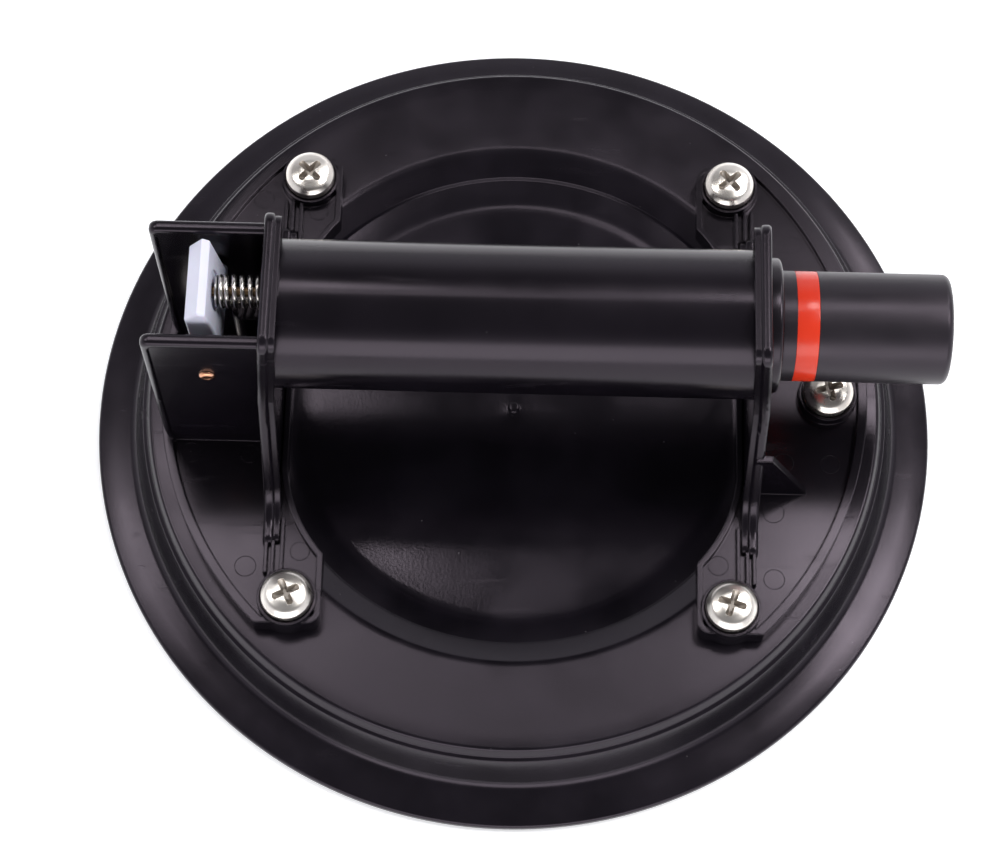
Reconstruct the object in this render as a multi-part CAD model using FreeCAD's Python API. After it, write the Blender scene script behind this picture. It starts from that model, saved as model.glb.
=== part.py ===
"""Hand vacuum lifter for floor tiles: a rubber suction pad under a grip that holds its own hand pump.

Millimetres, +Z up, +X toward the pump plunger.  The origin is the pad's centre on the surface it stands on.
Air is drawn from under the pad, up a riser in the grip frame, into the pump cylinder inside the grip tube.
The plunger pushes it out past the piston's cup seal, and its spring draws the next stroke.
The white thumb lever at the other end opens a small poppet valve that lets the air back in.
"""
import FreeCAD
import Part
import math
import os

Vec = FreeCAD.Vector

# ---------------------------------------------------------------- suction pad
pad_radius = 101.6
lip_edge_height = 2.5
lip_edge_round = 1.0
lip_contact_width = 3.6
lip_width = 9.6
lip_crease_radius = pad_radius - lip_width
lip_crease_height = 5.0
lip_crease_round = 3.0
plateau_height = 18.2
plateau_round = 1.0
wall_slope_width = 2.7
wall_step_radius = lip_crease_radius - wall_slope_width
wall_step_height = plateau_height - 3.0
wall_step_width = 0.9
wall_step_depth = 0.4
upper_wall_width = 1.9
plateau_radius = wall_step_radius - upper_wall_width
flange_inset = 3.4
flange_radius = plateau_radius - flange_inset
bolt_inset = 9.5
bolt_circle_radius = flange_radius - bolt_inset
dish_rim_inset = 8.0
dish_rim_radius = bolt_circle_radius - dish_rim_inset
dish_rim_round = 4.0
dish_wall_run = 5.7
dish_step_radius = dish_rim_radius - dish_wall_run
dish_step_height = plateau_height - 4.0
dish_step_width = 0.5
dish_step_depth = 0.9
dish_floor_inset = 6.8
dish_floor_radius = dish_step_radius - dish_floor_inset
dish_floor_height = dish_step_height - 2.8
dish_floor_sag = 0.4
dish_floor_round = 14.0
cavity_height = dish_floor_height - 4.4
cavity_inset = 17.6
cavity_radius = pad_radius - cavity_inset
cavity_round = 10.0

# ---------------------------------------------------------------- ring and inserts inside the pad
corner_screw_angle = 46.5
backing_ring_width = 15.0
backing_ring_thickness = 3.0
backing_ring_height = cavity_height + 3.6
insert_radius = 4.2
fixed_clearance = 0.05
overcut = 1.0

# ---------------------------------------------------------------- screws
screw_radius = 3.0
screw_hole_radius = 3.3
screw_head_radius = 6.0
screw_head_height = 4.0
screw_head_side = 1.9
screw_head_foot_round = 0.4
screw_crown_share = 0.72
screw_tip_clearance = 0.9
cross_recess_depth = 2.2
cross_recess_width = 1.3
cross_recess_length = 6.2

# ---------------------------------------------------------------- uprights of the grip frame
upright_inset = 30.1
upright_foot = flange_radius - upright_inset
upright_width = 3.8
upright_bead = 2.5
upright_bend_height = 56.0
upright_lean = 3.8
bend_tolerance = 0.05
upright_ledge_drop = 0.6
upright_sink = 0.6
upright_top_half = 16.9
upright_corner = 3.6
upright_rim = 2.3
upright_recess = 0.7
upright_edge_round = 0.9
upright_foot_half = 41.0
upright_foot_run = 9.5
upright_foot_rise = 2.4
upright_foot_round = 2.0
upright_flare_half = upright_foot_half - upright_foot_run
upright_flare_radius = 9.0
upright_waist_growth = 1.3
upright_waist_drop = 6.8
upright_waist_radius = 60.0
foot_rib_start = 34.0
foot_rib_end = 48.0
foot_rib_width = 0.8
foot_rib_height = 1.8
gusset_place = 24.0
gusset_thickness = 1.6
gusset_reach = 13.4
gusset_height = 20.5
gusset_flat = 3.8

# ---------------------------------------------------------------- flange plates of the grip frame
flange_thickness = 4.0
flange_end_inset = 24.0
flange_end = flange_radius - flange_end_inset
flange_tongue_reach = 10.4
flange_tongue = upright_foot - flange_tongue_reach
flange_inner = upright_foot - 1.1
flange_inner_half = 22.0
flange_tongue_start = 43.0
flange_bow = 2.0
flange_corner_radius = 3.0
flange_rim_width = 2.2
flange_rim_height = 1.6
flange_lip_width = 1.4
boss_radius = 6.9
boss_height = 2.8
boss_seat_depth = 0.4
boss_seat_radius = screw_head_radius + 0.3

# ---------------------------------------------------------------- grip tube and pump cylinder
grip_height = 63.8
grip_radius = 16.8
upright_top_rise = 19.2
upright_top = grip_height + upright_top_rise
liner_outer_radius = 14.0
liner_bore_radius = 13.0
cylinder_head_face = upright_foot - 3.9
grip_head_end = upright_foot + 1.1
boss_face = upright_foot + 2.1

# ---------------------------------------------------------------- guide bush and wiper
running_clearance = 0.06
bush_flange_radius = 15.2
bush_flange_width = 3.1
bush_flange_gap = 0.8
bush_length = 18.8
bush_chamfer = 0.8
wiper_width = 2.0
wiper_depth = 1.1
wiper_inset = 1.2

# ---------------------------------------------------------------- plunger
plunger_radius = 12.36
plunger_wall = 1.9
plunger_out = 37.6
plunger_end_round = 1.6
piston_stop_gap = 0.3
piston_length = 7.0
piston_radius = 12.7
spigot_length = 9.0
seal_width = 3.0
seal_clearance = 0.05
seal_lip = 1.1
seal_lip_taper = 0.6
seal_boss_radius = 5.0
retainer_radius = 10.0
retainer_thickness = 1.2
piston_screw_radius = 2.5
piston_screw_head = 4.2
piston_screw_head_height = 2.4
piston_screw_slot = 1.2
band_start = 3.0
band_width = 5.0
band_depth = 0.35
return_spring_radius = 7.9
return_spring_wire = 1.2
return_spring_turns = 9

# ---------------------------------------------------------------- vacuum riser and port
riser_reach = 6.6
riser_place = upright_foot + riser_reach
riser_radius = 3.2
air_hole_radius = 1.5
cross_hole_radius = 1.2
gasket_radius = 4.6
gasket_thickness = 1.2
port_boss_radius = 7.0
filter_radius = 5.0
filter_thickness = 2.0

# ---------------------------------------------------------------- guard walls beside the lever
guard_place = 13.7
guard_thickness = 2.0
guard_reach = flange_radius - 2.0
guard_root = upright_foot + 0.9
guard_foot_reach = guard_reach - 0.7
guard_foot_height = 5.0
guard_top = upright_top - 3.4
guard_corner = 2.0
guard_bead = 3.0
guard_bead_depth = 1.6
guard_bead_flat = 0.6
guard_wall_inset = 0.4

# ---------------------------------------------------------------- release lever and its pin
lever_pivot_inset = 13.4
lever_pivot = guard_reach - lever_pivot_inset
lever_pivot_height = grip_height - 1.7
lever_half_width = 9.3
lever_hub_half = 11.7
lever_hub_radius = 3.0
lever_height = 20.7
lever_ridge = 0.8
lever_outer_half = 2.5
lever_inner_half = 2.5
lever_root_half = 3.5
lever_root_height = 6.1
lever_inner_bevel = 1.2
lever_outer_bevel = 3.6
lever_lean = 4.5
lever_end_round = 0.7
lever_pin_radius = 1.5
lever_pin_head_radius = 1.9
lever_pin_head_height = 0.8
lever_pin_head_round = 1.1
lever_socket_radius = 1.95
lever_socket_gap = 0.3
spring_seat_radius = 4.6
spring_seat_face = 2.55

# ---------------------------------------------------------------- release valve
valve_rise = 12.8
valve_height = lever_pivot_height + valve_rise
stem_radius = 1.1
stem_hole_radius = 1.5
stem_out = lever_pivot - 0.05
valve_seat = upright_foot + 0.2
poppet_radius = 2.3
poppet_thickness = 1.0
valve_chamber_radius = 2.7
valve_disc_thickness = 1.0
clip_place = stem_out - 2.15
clip_radius = 3.6
clip_thickness = 0.4
clip_groove = 0.3
valve_spring_radius = 3.45
valve_spring_wire = 0.9
valve_spring_turns = 5.5

# ---------------------------------------------------------------- worked-out places
plate_top = plateau_height + flange_thickness
boss_top = plate_top + boss_height
screw_seat = boss_top - boss_seat_depth
backing_ring_top = backing_ring_height + backing_ring_thickness
bush_start = boss_face + bush_flange_width - bush_length
bush_end = boss_face + bush_flange_width
piston_back = bush_start - piston_stop_gap
piston_front = piston_back - piston_length
seal_front = piston_front - seal_width
retainer_front = seal_front - retainer_thickness
plunger_end = bush_end + plunger_out
plunger_bore = plunger_radius - plunger_wall
band_place = bush_end + band_start


def point(x, z):
    """A profile point in the XZ plane."""
    return Vec(x, 0, z)


def side_point(y, z):
    """A profile point in the YZ plane."""
    return Vec(0, y, z)


def line(a, b):
    """A straight edge."""
    return Part.LineSegment(a, b).toShape()


def arc(a, b, c):
    """A circular edge from a through b to c."""
    return Part.Arc(a, b, c).toShape()


def rounded_outline(corners, place):
    """A closed wire through (a, b, radius) corners that place puts in space, rounded by tangent arcs."""
    count = len(corners)
    starts, middles, ends = [], [], []
    for index, (a, b, radius) in enumerate(corners):
        here = place(a, b)
        before = place(*corners[index - 1][:2]) - here
        after = place(*corners[(index + 1) % count][:2]) - here
        before.normalize()
        after.normalize()
        half_angle = before.getAngle(after) / 2
        reach = radius / math.tan(half_angle)
        toward = before + after
        toward.normalize()
        starts.append(here + before * reach)
        middles.append(here + toward * (radius / math.sin(half_angle) - radius))
        ends.append(here + after * reach)
    edges = []
    for index in range(count):
        if corners[index][2] > 0:
            edges.append(arc(starts[index], middles[index], ends[index]))
        edges.append(line(ends[index], starts[(index + 1) % count]))
    return Part.Wire(edges)


def solid_of_revolution(points, base, axis):
    """A closed polygon turned once round an axis."""
    face = Part.Face(Part.makePolygon(points + [points[0]]))
    return face.revolve(base, axis, 360)


def rod_x(radius, start, end, height, y=0.0):
    """A cylinder along X from start to end."""
    return Part.makeCylinder(radius, end - start, Vec(start, y, height), Vec(1, 0, 0))


def rod_y(radius, start, end, x, height):
    """A cylinder along Y from start to end."""
    return Part.makeCylinder(radius, end - start, Vec(x, start, height), Vec(0, 1, 0))


def rod_z(radius, start, end, x=0.0, y=0.0):
    """A cylinder along Z from start to end."""
    return Part.makeCylinder(radius, end - start, Vec(x, y, start), Vec(0, 0, 1))


def tube_x(outer, inner, start, end, height):
    """A tube along X from start to end."""
    return rod_x(outer, start, end, height).cut(rod_x(inner, start - overcut, end + overcut, height))


def prism_y(points, middle, thickness):
    """A closed polygon in the XZ plane, thickened both ways along Y about middle."""
    face = Part.Face(Part.makePolygon(points + [points[0]]))
    face.translate(Vec(0, middle - thickness / 2, 0))
    return face.extrude(Vec(0, thickness, 0))


def mirror_x(shape):
    """The mirror image across the YZ plane."""
    return shape.mirror(Vec(0, 0, 0), Vec(1, 0, 0))


def mirror_y(shape):
    """The mirror image across the XZ plane."""
    return shape.mirror(Vec(0, 0, 0), Vec(0, 1, 0))


def coil_spring(mean_radius, wire_diameter, turns, start, end, height):
    """A compression spring along X whose six-sided wire touches the planes at start and end."""
    travel = end - start - wire_diameter
    helix = Part.makeHelix(travel / turns, travel, mean_radius)
    corners = []
    for index in range(7):
        turn = math.radians(60 * index)
        across = mean_radius + wire_diameter / 2 * math.sin(turn)
        corners.append(Vec(across, 0, wire_diameter / 2 * math.cos(turn)))
    section = Part.makePolygon(corners)
    coil = Part.Wire(helix.Edges).makePipeShell([section], True, True)
    coil.rotate(Vec(0, 0, 0), Vec(0, 1, 0), 90)
    coil.translate(Vec(start + wire_diameter / 2, 0, height))
    return coil


def screw_places():
    """The six screw centres: four near the corners of the flange plates and one at each end."""
    places = []
    for angle in (corner_screw_angle, 180 - corner_screw_angle, 180, 180 + corner_screw_angle,
                  360 - corner_screw_angle, 0):
        turn = math.radians(angle)
        places.append((bolt_circle_radius * math.cos(turn), bolt_circle_radius * math.sin(turn)))
    return places


# ---------------------------------------------------------------- suction pad and what it carries
def backing_ring_radii():
    """Inner and outer radius of the ring that lies inside the pad under the screws."""
    return bolt_circle_radius - backing_ring_width / 2, bolt_circle_radius + backing_ring_width / 2


def pad_body():
    """The moulded pad: dish, plateau, stepped wall and flexible lip over one suction cavity."""
    profile = [
        (0, cavity_height, 0),
        (0, dish_floor_height - dish_floor_sag, 0),
        (dish_floor_radius, dish_floor_height, dish_floor_round),
        (dish_step_radius - dish_step_width, dish_step_height - dish_step_depth, 0),
        (dish_step_radius, dish_step_height, 0),
        (dish_rim_radius, plateau_height, dish_rim_round),
        (plateau_radius, plateau_height, plateau_round),
        (wall_step_radius - wall_step_width, wall_step_height + wall_step_depth, 0),
        (wall_step_radius, wall_step_height, 0),
        (lip_crease_radius, lip_crease_height, lip_crease_round),
        (pad_radius, lip_edge_height, lip_edge_round),
        (pad_radius, 0, lip_edge_round),
        (pad_radius - lip_contact_width, 0, 0),
        (cavity_radius, cavity_height, cavity_round),
    ]
    return Part.Face(rounded_outline(profile, point)).revolve(Vec(0, 0, 0), Vec(0, 0, 1), 360)


def suction_pad():
    """The rubber pad with its port boss, its buried ring space and its six insert pockets."""
    pad = pad_body().fuse(rod_z(port_boss_radius, cavity_height + overcut, plateau_height, -riser_place))
    inner, outer = backing_ring_radii()
    ring_space = rod_z(outer, backing_ring_height, backing_ring_top)
    ring_space = ring_space.cut(rod_z(inner, backing_ring_height - overcut, backing_ring_top + overcut))
    cuts = [ring_space]
    for x, y in screw_places():
        pocket = insert_radius + fixed_clearance
        cuts.append(rod_z(pocket, backing_ring_height, plateau_height + overcut, x, y))
    cuts.append(rod_z(air_hole_radius, 0, plateau_height + overcut, -riser_place))
    cuts.append(rod_z(filter_radius + fixed_clearance, 0, cavity_height + filter_thickness, -riser_place))
    for cut in cuts:
        pad = pad.cut(cut)
    return pad.removeSplitter()


def backing_ring():
    """The flat steel ring moulded into the pad."""
    inner, outer = backing_ring_radii()
    ring = rod_z(outer, backing_ring_height, backing_ring_top)
    ring = ring.cut(rod_z(inner, 0, backing_ring_top + overcut))
    for x, y in screw_places():
        ring = ring.cut(rod_z(insert_radius + fixed_clearance, 0, backing_ring_top + overcut, x, y))
    return ring


def threaded_inserts():
    """Six threaded bushes held by the ring, level with the plateau."""
    inserts = []
    for x, y in screw_places():
        bush = rod_z(insert_radius, backing_ring_height, plateau_height, x, y)
        inserts.append(bush.cut(rod_z(screw_radius + fixed_clearance, 0, plateau_height + overcut, x, y)))
    return Part.makeCompound(inserts)


def pan_head_screw(x, y):
    """One pan-head screw with a cross recess, standing on its boss."""
    reach = screw_head_radius
    foot = screw_head_foot_round
    bend = foot * (1 - math.sqrt(0.5))
    crown = (screw_head_side + screw_head_height) / 2 + foot
    head = [
        line(point(0, 0), point(reach - foot, 0)),
        arc(point(reach - foot, 0), point(reach - bend, bend), point(reach, foot)),
        line(point(reach, foot), point(reach - foot / 2, screw_head_side)),
        arc(point(reach - foot / 2, screw_head_side), point(reach * screw_crown_share, crown),
            point(0, screw_head_height)),
        line(point(0, screw_head_height), point(0, 0)),
    ]
    screw = Part.Face(Part.Wire(head)).revolve(Vec(0, 0, 0), Vec(0, 0, 1), 360)
    for turn in (0, 90):
        slot = Part.makeBox(cross_recess_length, cross_recess_width, cross_recess_depth + overcut)
        slot.translate(Vec(-cross_recess_length / 2, -cross_recess_width / 2,
                           screw_head_height - cross_recess_depth))
        slot.rotate(Vec(0, 0, 0), Vec(0, 0, 1), turn)
        screw = screw.cut(slot)
    tip = backing_ring_height + screw_tip_clearance - screw_seat
    screw = screw.fuse(rod_z(screw_radius, tip, foot))
    screw.translate(Vec(x, y, screw_seat))
    return screw


def flange_screws():
    """The six screws that hold the frame to the pad."""
    return Part.makeCompound([pan_head_screw(x, y) for x, y in screw_places()])


def filter_disc():
    """The felt disc in the mouth of the pad's port."""
    return rod_z(filter_radius, cavity_height, cavity_height + filter_thickness, -riser_place)


def port_gasket():
    """The flat ring that seals the frame's riser to the pad."""
    gasket = rod_z(gasket_radius, plateau_height, plateau_height + gasket_thickness, -riser_place)
    return gasket.cut(rod_z(air_hole_radius, 0, plate_top, -riser_place))


# ---------------------------------------------------------------- grip frame
def flange_face():
    """The outline of the left flange plate, a crescent that follows the pad's plateau."""
    corner = flange_corner_radius
    outer_x = -math.sqrt(flange_radius ** 2 - flange_end ** 2)
    bend = corner * (1 - math.sqrt(0.5))
    mid_x = -(flange_tongue + flange_inner) / 2 - flange_bow
    mid_y = (flange_tongue_start + flange_inner_half) / 2
    half = [
        (line, (outer_x, -flange_end), (-flange_tongue - corner, -flange_end)),
        (arc, (-flange_tongue - corner, -flange_end), (-flange_tongue - bend, -flange_end + bend),
         (-flange_tongue, -flange_end + corner)),
        (line, (-flange_tongue, -flange_end + corner), (-flange_tongue, -flange_tongue_start)),
        (arc, (-flange_tongue, -flange_tongue_start), (mid_x, -mid_y), (-flange_inner, -flange_inner_half)),
    ]
    edges = [arc(Vec(outer_x, flange_end, 0), Vec(-flange_radius, 0, 0), Vec(outer_x, -flange_end, 0))]
    for make, *places in half:
        edges.append(make(*[Vec(x, y, 0) for x, y in places]))
    edges.append(line(Vec(-flange_inner, -flange_inner_half, 0), Vec(-flange_inner, flange_inner_half, 0)))
    for make, *places in reversed(half):
        edges.append(make(*[Vec(x, -y, 0) for x, y in reversed(places)]))
    return Part.Face(Part.Wire(edges))


def flange_plate():
    """The left flange plate with its raised rim, wider on the outer arc, and its screw bosses."""
    face = flange_face()
    face.translate(Vec(0, 0, plateau_height))
    full = flange_thickness + flange_rim_height
    plate = face.extrude(Vec(0, 0, flange_thickness))
    rim = face.extrude(Vec(0, 0, full))
    inside = face.makeOffset2D(-flange_lip_width).extrude(Vec(0, 0, full))
    inside = inside.common(rod_z(flange_radius - flange_rim_width, plateau_height, plateau_height + full))
    plate = plate.fuse(rim.cut(inside))
    for x, y in screw_places():
        if x < 0:
            plate = plate.fuse(rod_z(boss_radius, plateau_height, boss_top, x, y))
    return plate


def upright_face(inset):
    """The outline of an upright seen along X, wide at its foot and narrow at its top, drawn in by inset."""
    low = plateau_height + upright_sink
    foot = plate_top + upright_foot_rise - inset
    half = upright_top_half - inset
    right = [
        (upright_foot_half - inset, low, 0),
        (upright_foot_half - inset, foot, upright_foot_round),
        (upright_flare_half - inset, foot, upright_flare_radius),
        (half + upright_waist_growth, grip_height - upright_waist_drop, upright_waist_radius),
        (half, upright_top - inset, upright_corner - inset),
    ]
    left = [(-y, z, radius) for y, z, radius in reversed(right)]
    return Part.Face(rounded_outline(right + left, side_point))


def leaned(slab):
    """A straight slab on its foot, with everything above the bend leaning in toward the middle."""
    reach = 4 * flange_radius
    below = Part.makeBox(reach, reach, upright_bend_height, Vec(0, -reach / 2, 0))
    above = Part.makeBox(reach, reach, reach, Vec(0, -reach / 2, upright_bend_height))
    top = slab.copy()
    top.rotate(Vec(upright_foot + upright_width, 0, upright_bend_height), Vec(0, 1, 0), -upright_lean)
    return slab.common(below).fuse((top.common(above),), bend_tolerance)


def upright():
    """The right upright: a web inside a rounded bead, with a lower ledge on the bead's inner side."""
    outer = upright_foot + upright_width
    bead = upright_face(0).extrude(Vec(upright_bead, 0, 0))
    rounded = []
    for edge in bead.Edges:
        box = edge.BoundBox
        if box.XLength < 0.01 and box.ZMax > plateau_height + upright_sink + 0.01:
            rounded.append(edge)
    bead = bead.makeFillet(upright_edge_round, rounded)
    bead.translate(Vec(outer - upright_bead, 0, 0))
    ledge = upright_face(upright_ledge_drop).extrude(Vec(upright_width / 2, 0, 0))
    ledge.translate(Vec(upright_foot, 0, 0))
    slab = bead.fuse(ledge)
    for start in (upright_foot - overcut, outer - upright_recess):
        pocket = upright_face(upright_rim).extrude(Vec(upright_recess + overcut, 0, 0))
        pocket.translate(Vec(start, 0, 0))
        slab = slab.cut(pocket)
    return leaned(slab)


def foot_ribs():
    """The thin ribs that run from the front foot of the right upright to the screw boss."""
    outer = upright_foot + upright_width - upright_edge_round
    ribs = []
    near = upright_foot_half - overcut
    for place, start in ((outer, near), (outer - 2 * foot_rib_width, near),
                         (upright_foot - foot_rib_width, foot_rib_start)):
        rib = Part.makeBox(foot_rib_width, foot_rib_end - start, flange_thickness + foot_rib_height,
                           Vec(place - foot_rib_width / 2, -foot_rib_end, plateau_height))
        ribs.append(rib)
    return ribs


def gusset():
    """A small fin between the right flange plate and its upright."""
    start = upright_foot + upright_width / 2
    low = plateau_height + upright_sink
    outline = [point(start, low), point(start + gusset_reach, low), point(start + gusset_reach, plate_top),
               point(start + gusset_flat, plate_top + gusset_height),
               point(start, plate_top + gusset_height)]
    return prism_y(outline, -gusset_place, gusset_thickness)


def guard_outline(inset):
    """The outline of a guard wall, drawn in from its top and outer edges by inset."""
    low = plateau_height + upright_sink
    outer = inset - guard_reach
    foot = plate_top + guard_foot_height
    corners = [
        (-guard_root, low, 0),
        (inset - guard_foot_reach, low, 0),
        (inset - guard_foot_reach, plate_top, 0),
        (outer, foot, 0),
        (outer, guard_top - inset, guard_corner),
        (-guard_root, guard_top - inset, 0),
    ]
    return Part.Face(rounded_outline(corners, point))


def guard_wall():
    """The front guard wall: a thin wall with a rounded bead along its top and outer edges."""
    place = -guard_place
    wall = guard_outline(guard_wall_inset)
    wall.translate(Vec(0, place - guard_thickness / 2, 0))
    wall = wall.extrude(Vec(0, guard_thickness, 0))
    bead = guard_outline(0)
    bead.translate(Vec(0, place - guard_bead / 2, 0))
    bead = bead.extrude(Vec(0, guard_bead, 0))
    outer = []
    for edge in bead.Edges:
        box = edge.BoundBox
        if box.YLength < 0.01 and box.ZMax > plateau_height + overcut:
            outer.append(edge)
    bead = bead.makeFillet((guard_bead - guard_bead_flat) / 2, outer)
    inner = guard_outline(guard_bead_depth)
    inner.translate(Vec(0, place - guard_bead, 0))
    return wall.fuse(bead.cut(inner.extrude(Vec(0, 2 * guard_bead, 0))))


def air_passages():
    """Everything that is bored out of the frame: cylinder, valve chamber, riser and stem hole."""
    riser_top = grip_height + air_hole_radius
    beyond = upright_width
    gasket_space = rod_z(gasket_radius + fixed_clearance, 0, plateau_height + gasket_thickness, -riser_place)
    return [
        rod_x(liner_outer_radius + fixed_clearance, -cylinder_head_face, boss_face + overcut, grip_height),
        rod_x(valve_chamber_radius, -valve_seat, -cylinder_head_face + overcut, valve_height),
        rod_x(stem_hole_radius, -valve_seat - beyond, -valve_seat + overcut, valve_height),
        rod_z(air_hole_radius, 0, riser_top, -riser_place),
        rod_x(cross_hole_radius, -riser_place, -cylinder_head_face + overcut, grip_height),
        gasket_space,
    ]


def riser():
    """The column that carries the air up to the cylinder head, joined to the web along its height."""
    rise = grip_height + riser_radius - plateau_height
    column = rod_z(riser_radius, plateau_height, plateau_height + rise, -riser_place)
    bridge = Part.makeBox(riser_place - upright_foot - upright_width / 2, 2 * riser_radius, rise,
                          Vec(-riser_place, -riser_radius, plateau_height))
    return column.fuse(bridge)


def handle_frame():
    """The one-piece grip frame: flange plates, uprights, grip tube, guard walls, riser and fins."""
    plate = flange_plate()
    right_upright = upright()
    front_guard = guard_wall()
    front_gusset = gusset()
    pieces = [mirror_x(plate), right_upright, mirror_x(right_upright), front_guard, mirror_y(front_guard),
              front_gusset, mirror_y(front_gusset), riser(),
              rod_x(grip_radius, -grip_head_end, boss_face, grip_height)]
    for rib in foot_ribs():
        pieces += [rib, mirror_x(rib), mirror_y(rib), mirror_x(mirror_y(rib))]
    frame = plate
    for piece in pieces:
        frame = frame.fuse(piece)
    cuts = air_passages()
    for x, y in screw_places():
        cuts.append(rod_z(screw_hole_radius, 0, boss_top + overcut, x, y))
        cuts.append(rod_z(boss_seat_radius, screw_seat, grip_height - grip_radius - overcut, x, y))
    past = guard_place + guard_bead
    cuts.append(rod_y(lever_pin_radius + fixed_clearance, -past, past, -lever_pivot, lever_pivot_height))
    cuts.append(rod_x(bush_flange_radius + bush_flange_gap, boss_face, bush_end, grip_height))
    for cut in cuts:
        frame = frame.cut(cut)
    return frame.removeSplitter()


# ---------------------------------------------------------------- pump
def cylinder_liner():
    """The drawn tube inside the grip, from the cylinder head to the guide bush."""
    return tube_x(liner_outer_radius, liner_bore_radius, -cylinder_head_face, bush_start, grip_height)


def guide_bush():
    """The bush that closes the cylinder and guides the plunger, with a chamfered collar outside."""
    bore = plunger_radius + running_clearance
    outer = liner_outer_radius
    collar = bush_flange_radius
    outline = [point(bush_start, bore), point(bush_start, outer), point(boss_face, outer),
               point(boss_face, collar), point(bush_end - bush_chamfer, collar),
               point(bush_end, collar - bush_chamfer), point(bush_end, bore)]
    bush = solid_of_revolution(outline, Vec(0, 0, 0), Vec(1, 0, 0))
    bush.translate(Vec(0, 0, grip_height))
    groove_end = bush_end - wiper_inset
    groove = rod_x(bore + wiper_depth, groove_end - wiper_width, groove_end, grip_height)
    return bush.cut(groove)


def wiper_ring():
    """The ring in the bush that keeps dust off the plunger."""
    bore = plunger_radius + running_clearance
    end = bush_end - wiper_inset
    return tube_x(bore + wiper_depth - fixed_clearance, bore, end - wiper_width, end, grip_height)


def plunger_tube():
    """The hollow plunger with its closed, rounded thumb end and the groove of the red band."""
    bend = plunger_end_round * (1 - math.sqrt(0.5))
    outer = plunger_radius
    edges = [
        line(point(piston_back, plunger_bore), point(piston_back, outer)),
        line(point(piston_back, outer), point(band_place, outer)),
        line(point(band_place, outer), point(band_place, outer - band_depth)),
        line(point(band_place, outer - band_depth), point(band_place + band_width, outer - band_depth)),
        line(point(band_place + band_width, outer - band_depth), point(band_place + band_width, outer)),
        line(point(band_place + band_width, outer), point(plunger_end - plunger_end_round, outer)),
        arc(point(plunger_end - plunger_end_round, outer), point(plunger_end - bend, outer - bend),
            point(plunger_end, outer - plunger_end_round)),
        line(point(plunger_end, outer - plunger_end_round), point(plunger_end, 0)),
        line(point(plunger_end, 0), point(plunger_end - plunger_wall, 0)),
        line(point(plunger_end - plunger_wall, 0), point(plunger_end - plunger_wall, plunger_bore)),
        line(point(plunger_end - plunger_wall, plunger_bore), point(piston_back, plunger_bore)),
    ]
    tube = Part.Face(Part.Wire(edges)).revolve(Vec(0, 0, 0), Vec(1, 0, 0), 360)
    tube.translate(Vec(0, 0, grip_height))
    return tube


def red_ring():
    """The red band that shows when the vacuum is lost."""
    inner = plunger_radius - band_depth
    return tube_x(plunger_radius, inner, band_place, band_place + band_width, grip_height)


def piston():
    """The piston: a collar that stops on the bush, a spigot in the plunger and a boss for the seal."""
    body = rod_x(piston_radius, piston_front, piston_back, grip_height)
    spigot = rod_x(plunger_bore - fixed_clearance, piston_back, piston_back + spigot_length, grip_height)
    body = body.fuse(spigot)
    body = body.fuse(rod_x(seal_boss_radius, seal_front, piston_front, grip_height))
    depth = spigot_length + piston_length
    return body.cut(rod_x(piston_screw_radius + fixed_clearance, seal_front - overcut, seal_front + depth,
                          grip_height))


def piston_seal():
    """The rubber cup seal, whose lip opens toward the cylinder head."""
    outer = liner_bore_radius - seal_clearance
    inner = seal_boss_radius + fixed_clearance
    base = piston_front - seal_width / 2
    outline = [point(piston_front, inner), point(piston_front, outer - seal_lip_taper), point(base, outer),
               point(seal_front, outer), point(seal_front, outer - seal_lip),
               point(base, outer - seal_lip - seal_lip_taper),
               point(seal_front, retainer_radius), point(seal_front, inner)]
    seal = solid_of_revolution(outline, Vec(0, 0, 0), Vec(1, 0, 0))
    seal.translate(Vec(0, 0, grip_height))
    return seal


def seal_retainer():
    """The steel washer that clamps the cup seal and carries the return spring."""
    inner = piston_screw_radius + fixed_clearance
    return tube_x(retainer_radius, inner, retainer_front, seal_front, grip_height)


def piston_screw():
    """The screw that clamps the retainer and the seal to the piston."""
    head = rod_x(piston_screw_head, retainer_front - piston_screw_head_height, retainer_front, grip_height)
    reach = retainer_front + retainer_thickness + seal_width + piston_length
    screw = head.fuse(rod_x(piston_screw_radius, retainer_front, reach, grip_height))
    slot = Part.makeBox(piston_screw_slot, piston_screw_slot, 2 * piston_screw_head)
    slot.translate(Vec(retainer_front - piston_screw_head_height, -piston_screw_slot / 2,
                       grip_height - piston_screw_head))
    return screw.cut(slot)


def return_spring():
    """The spring that pushes the plunger out of the cylinder."""
    return coil_spring(return_spring_radius, return_spring_wire, return_spring_turns,
                       -cylinder_head_face, retainer_front, grip_height)


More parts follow.
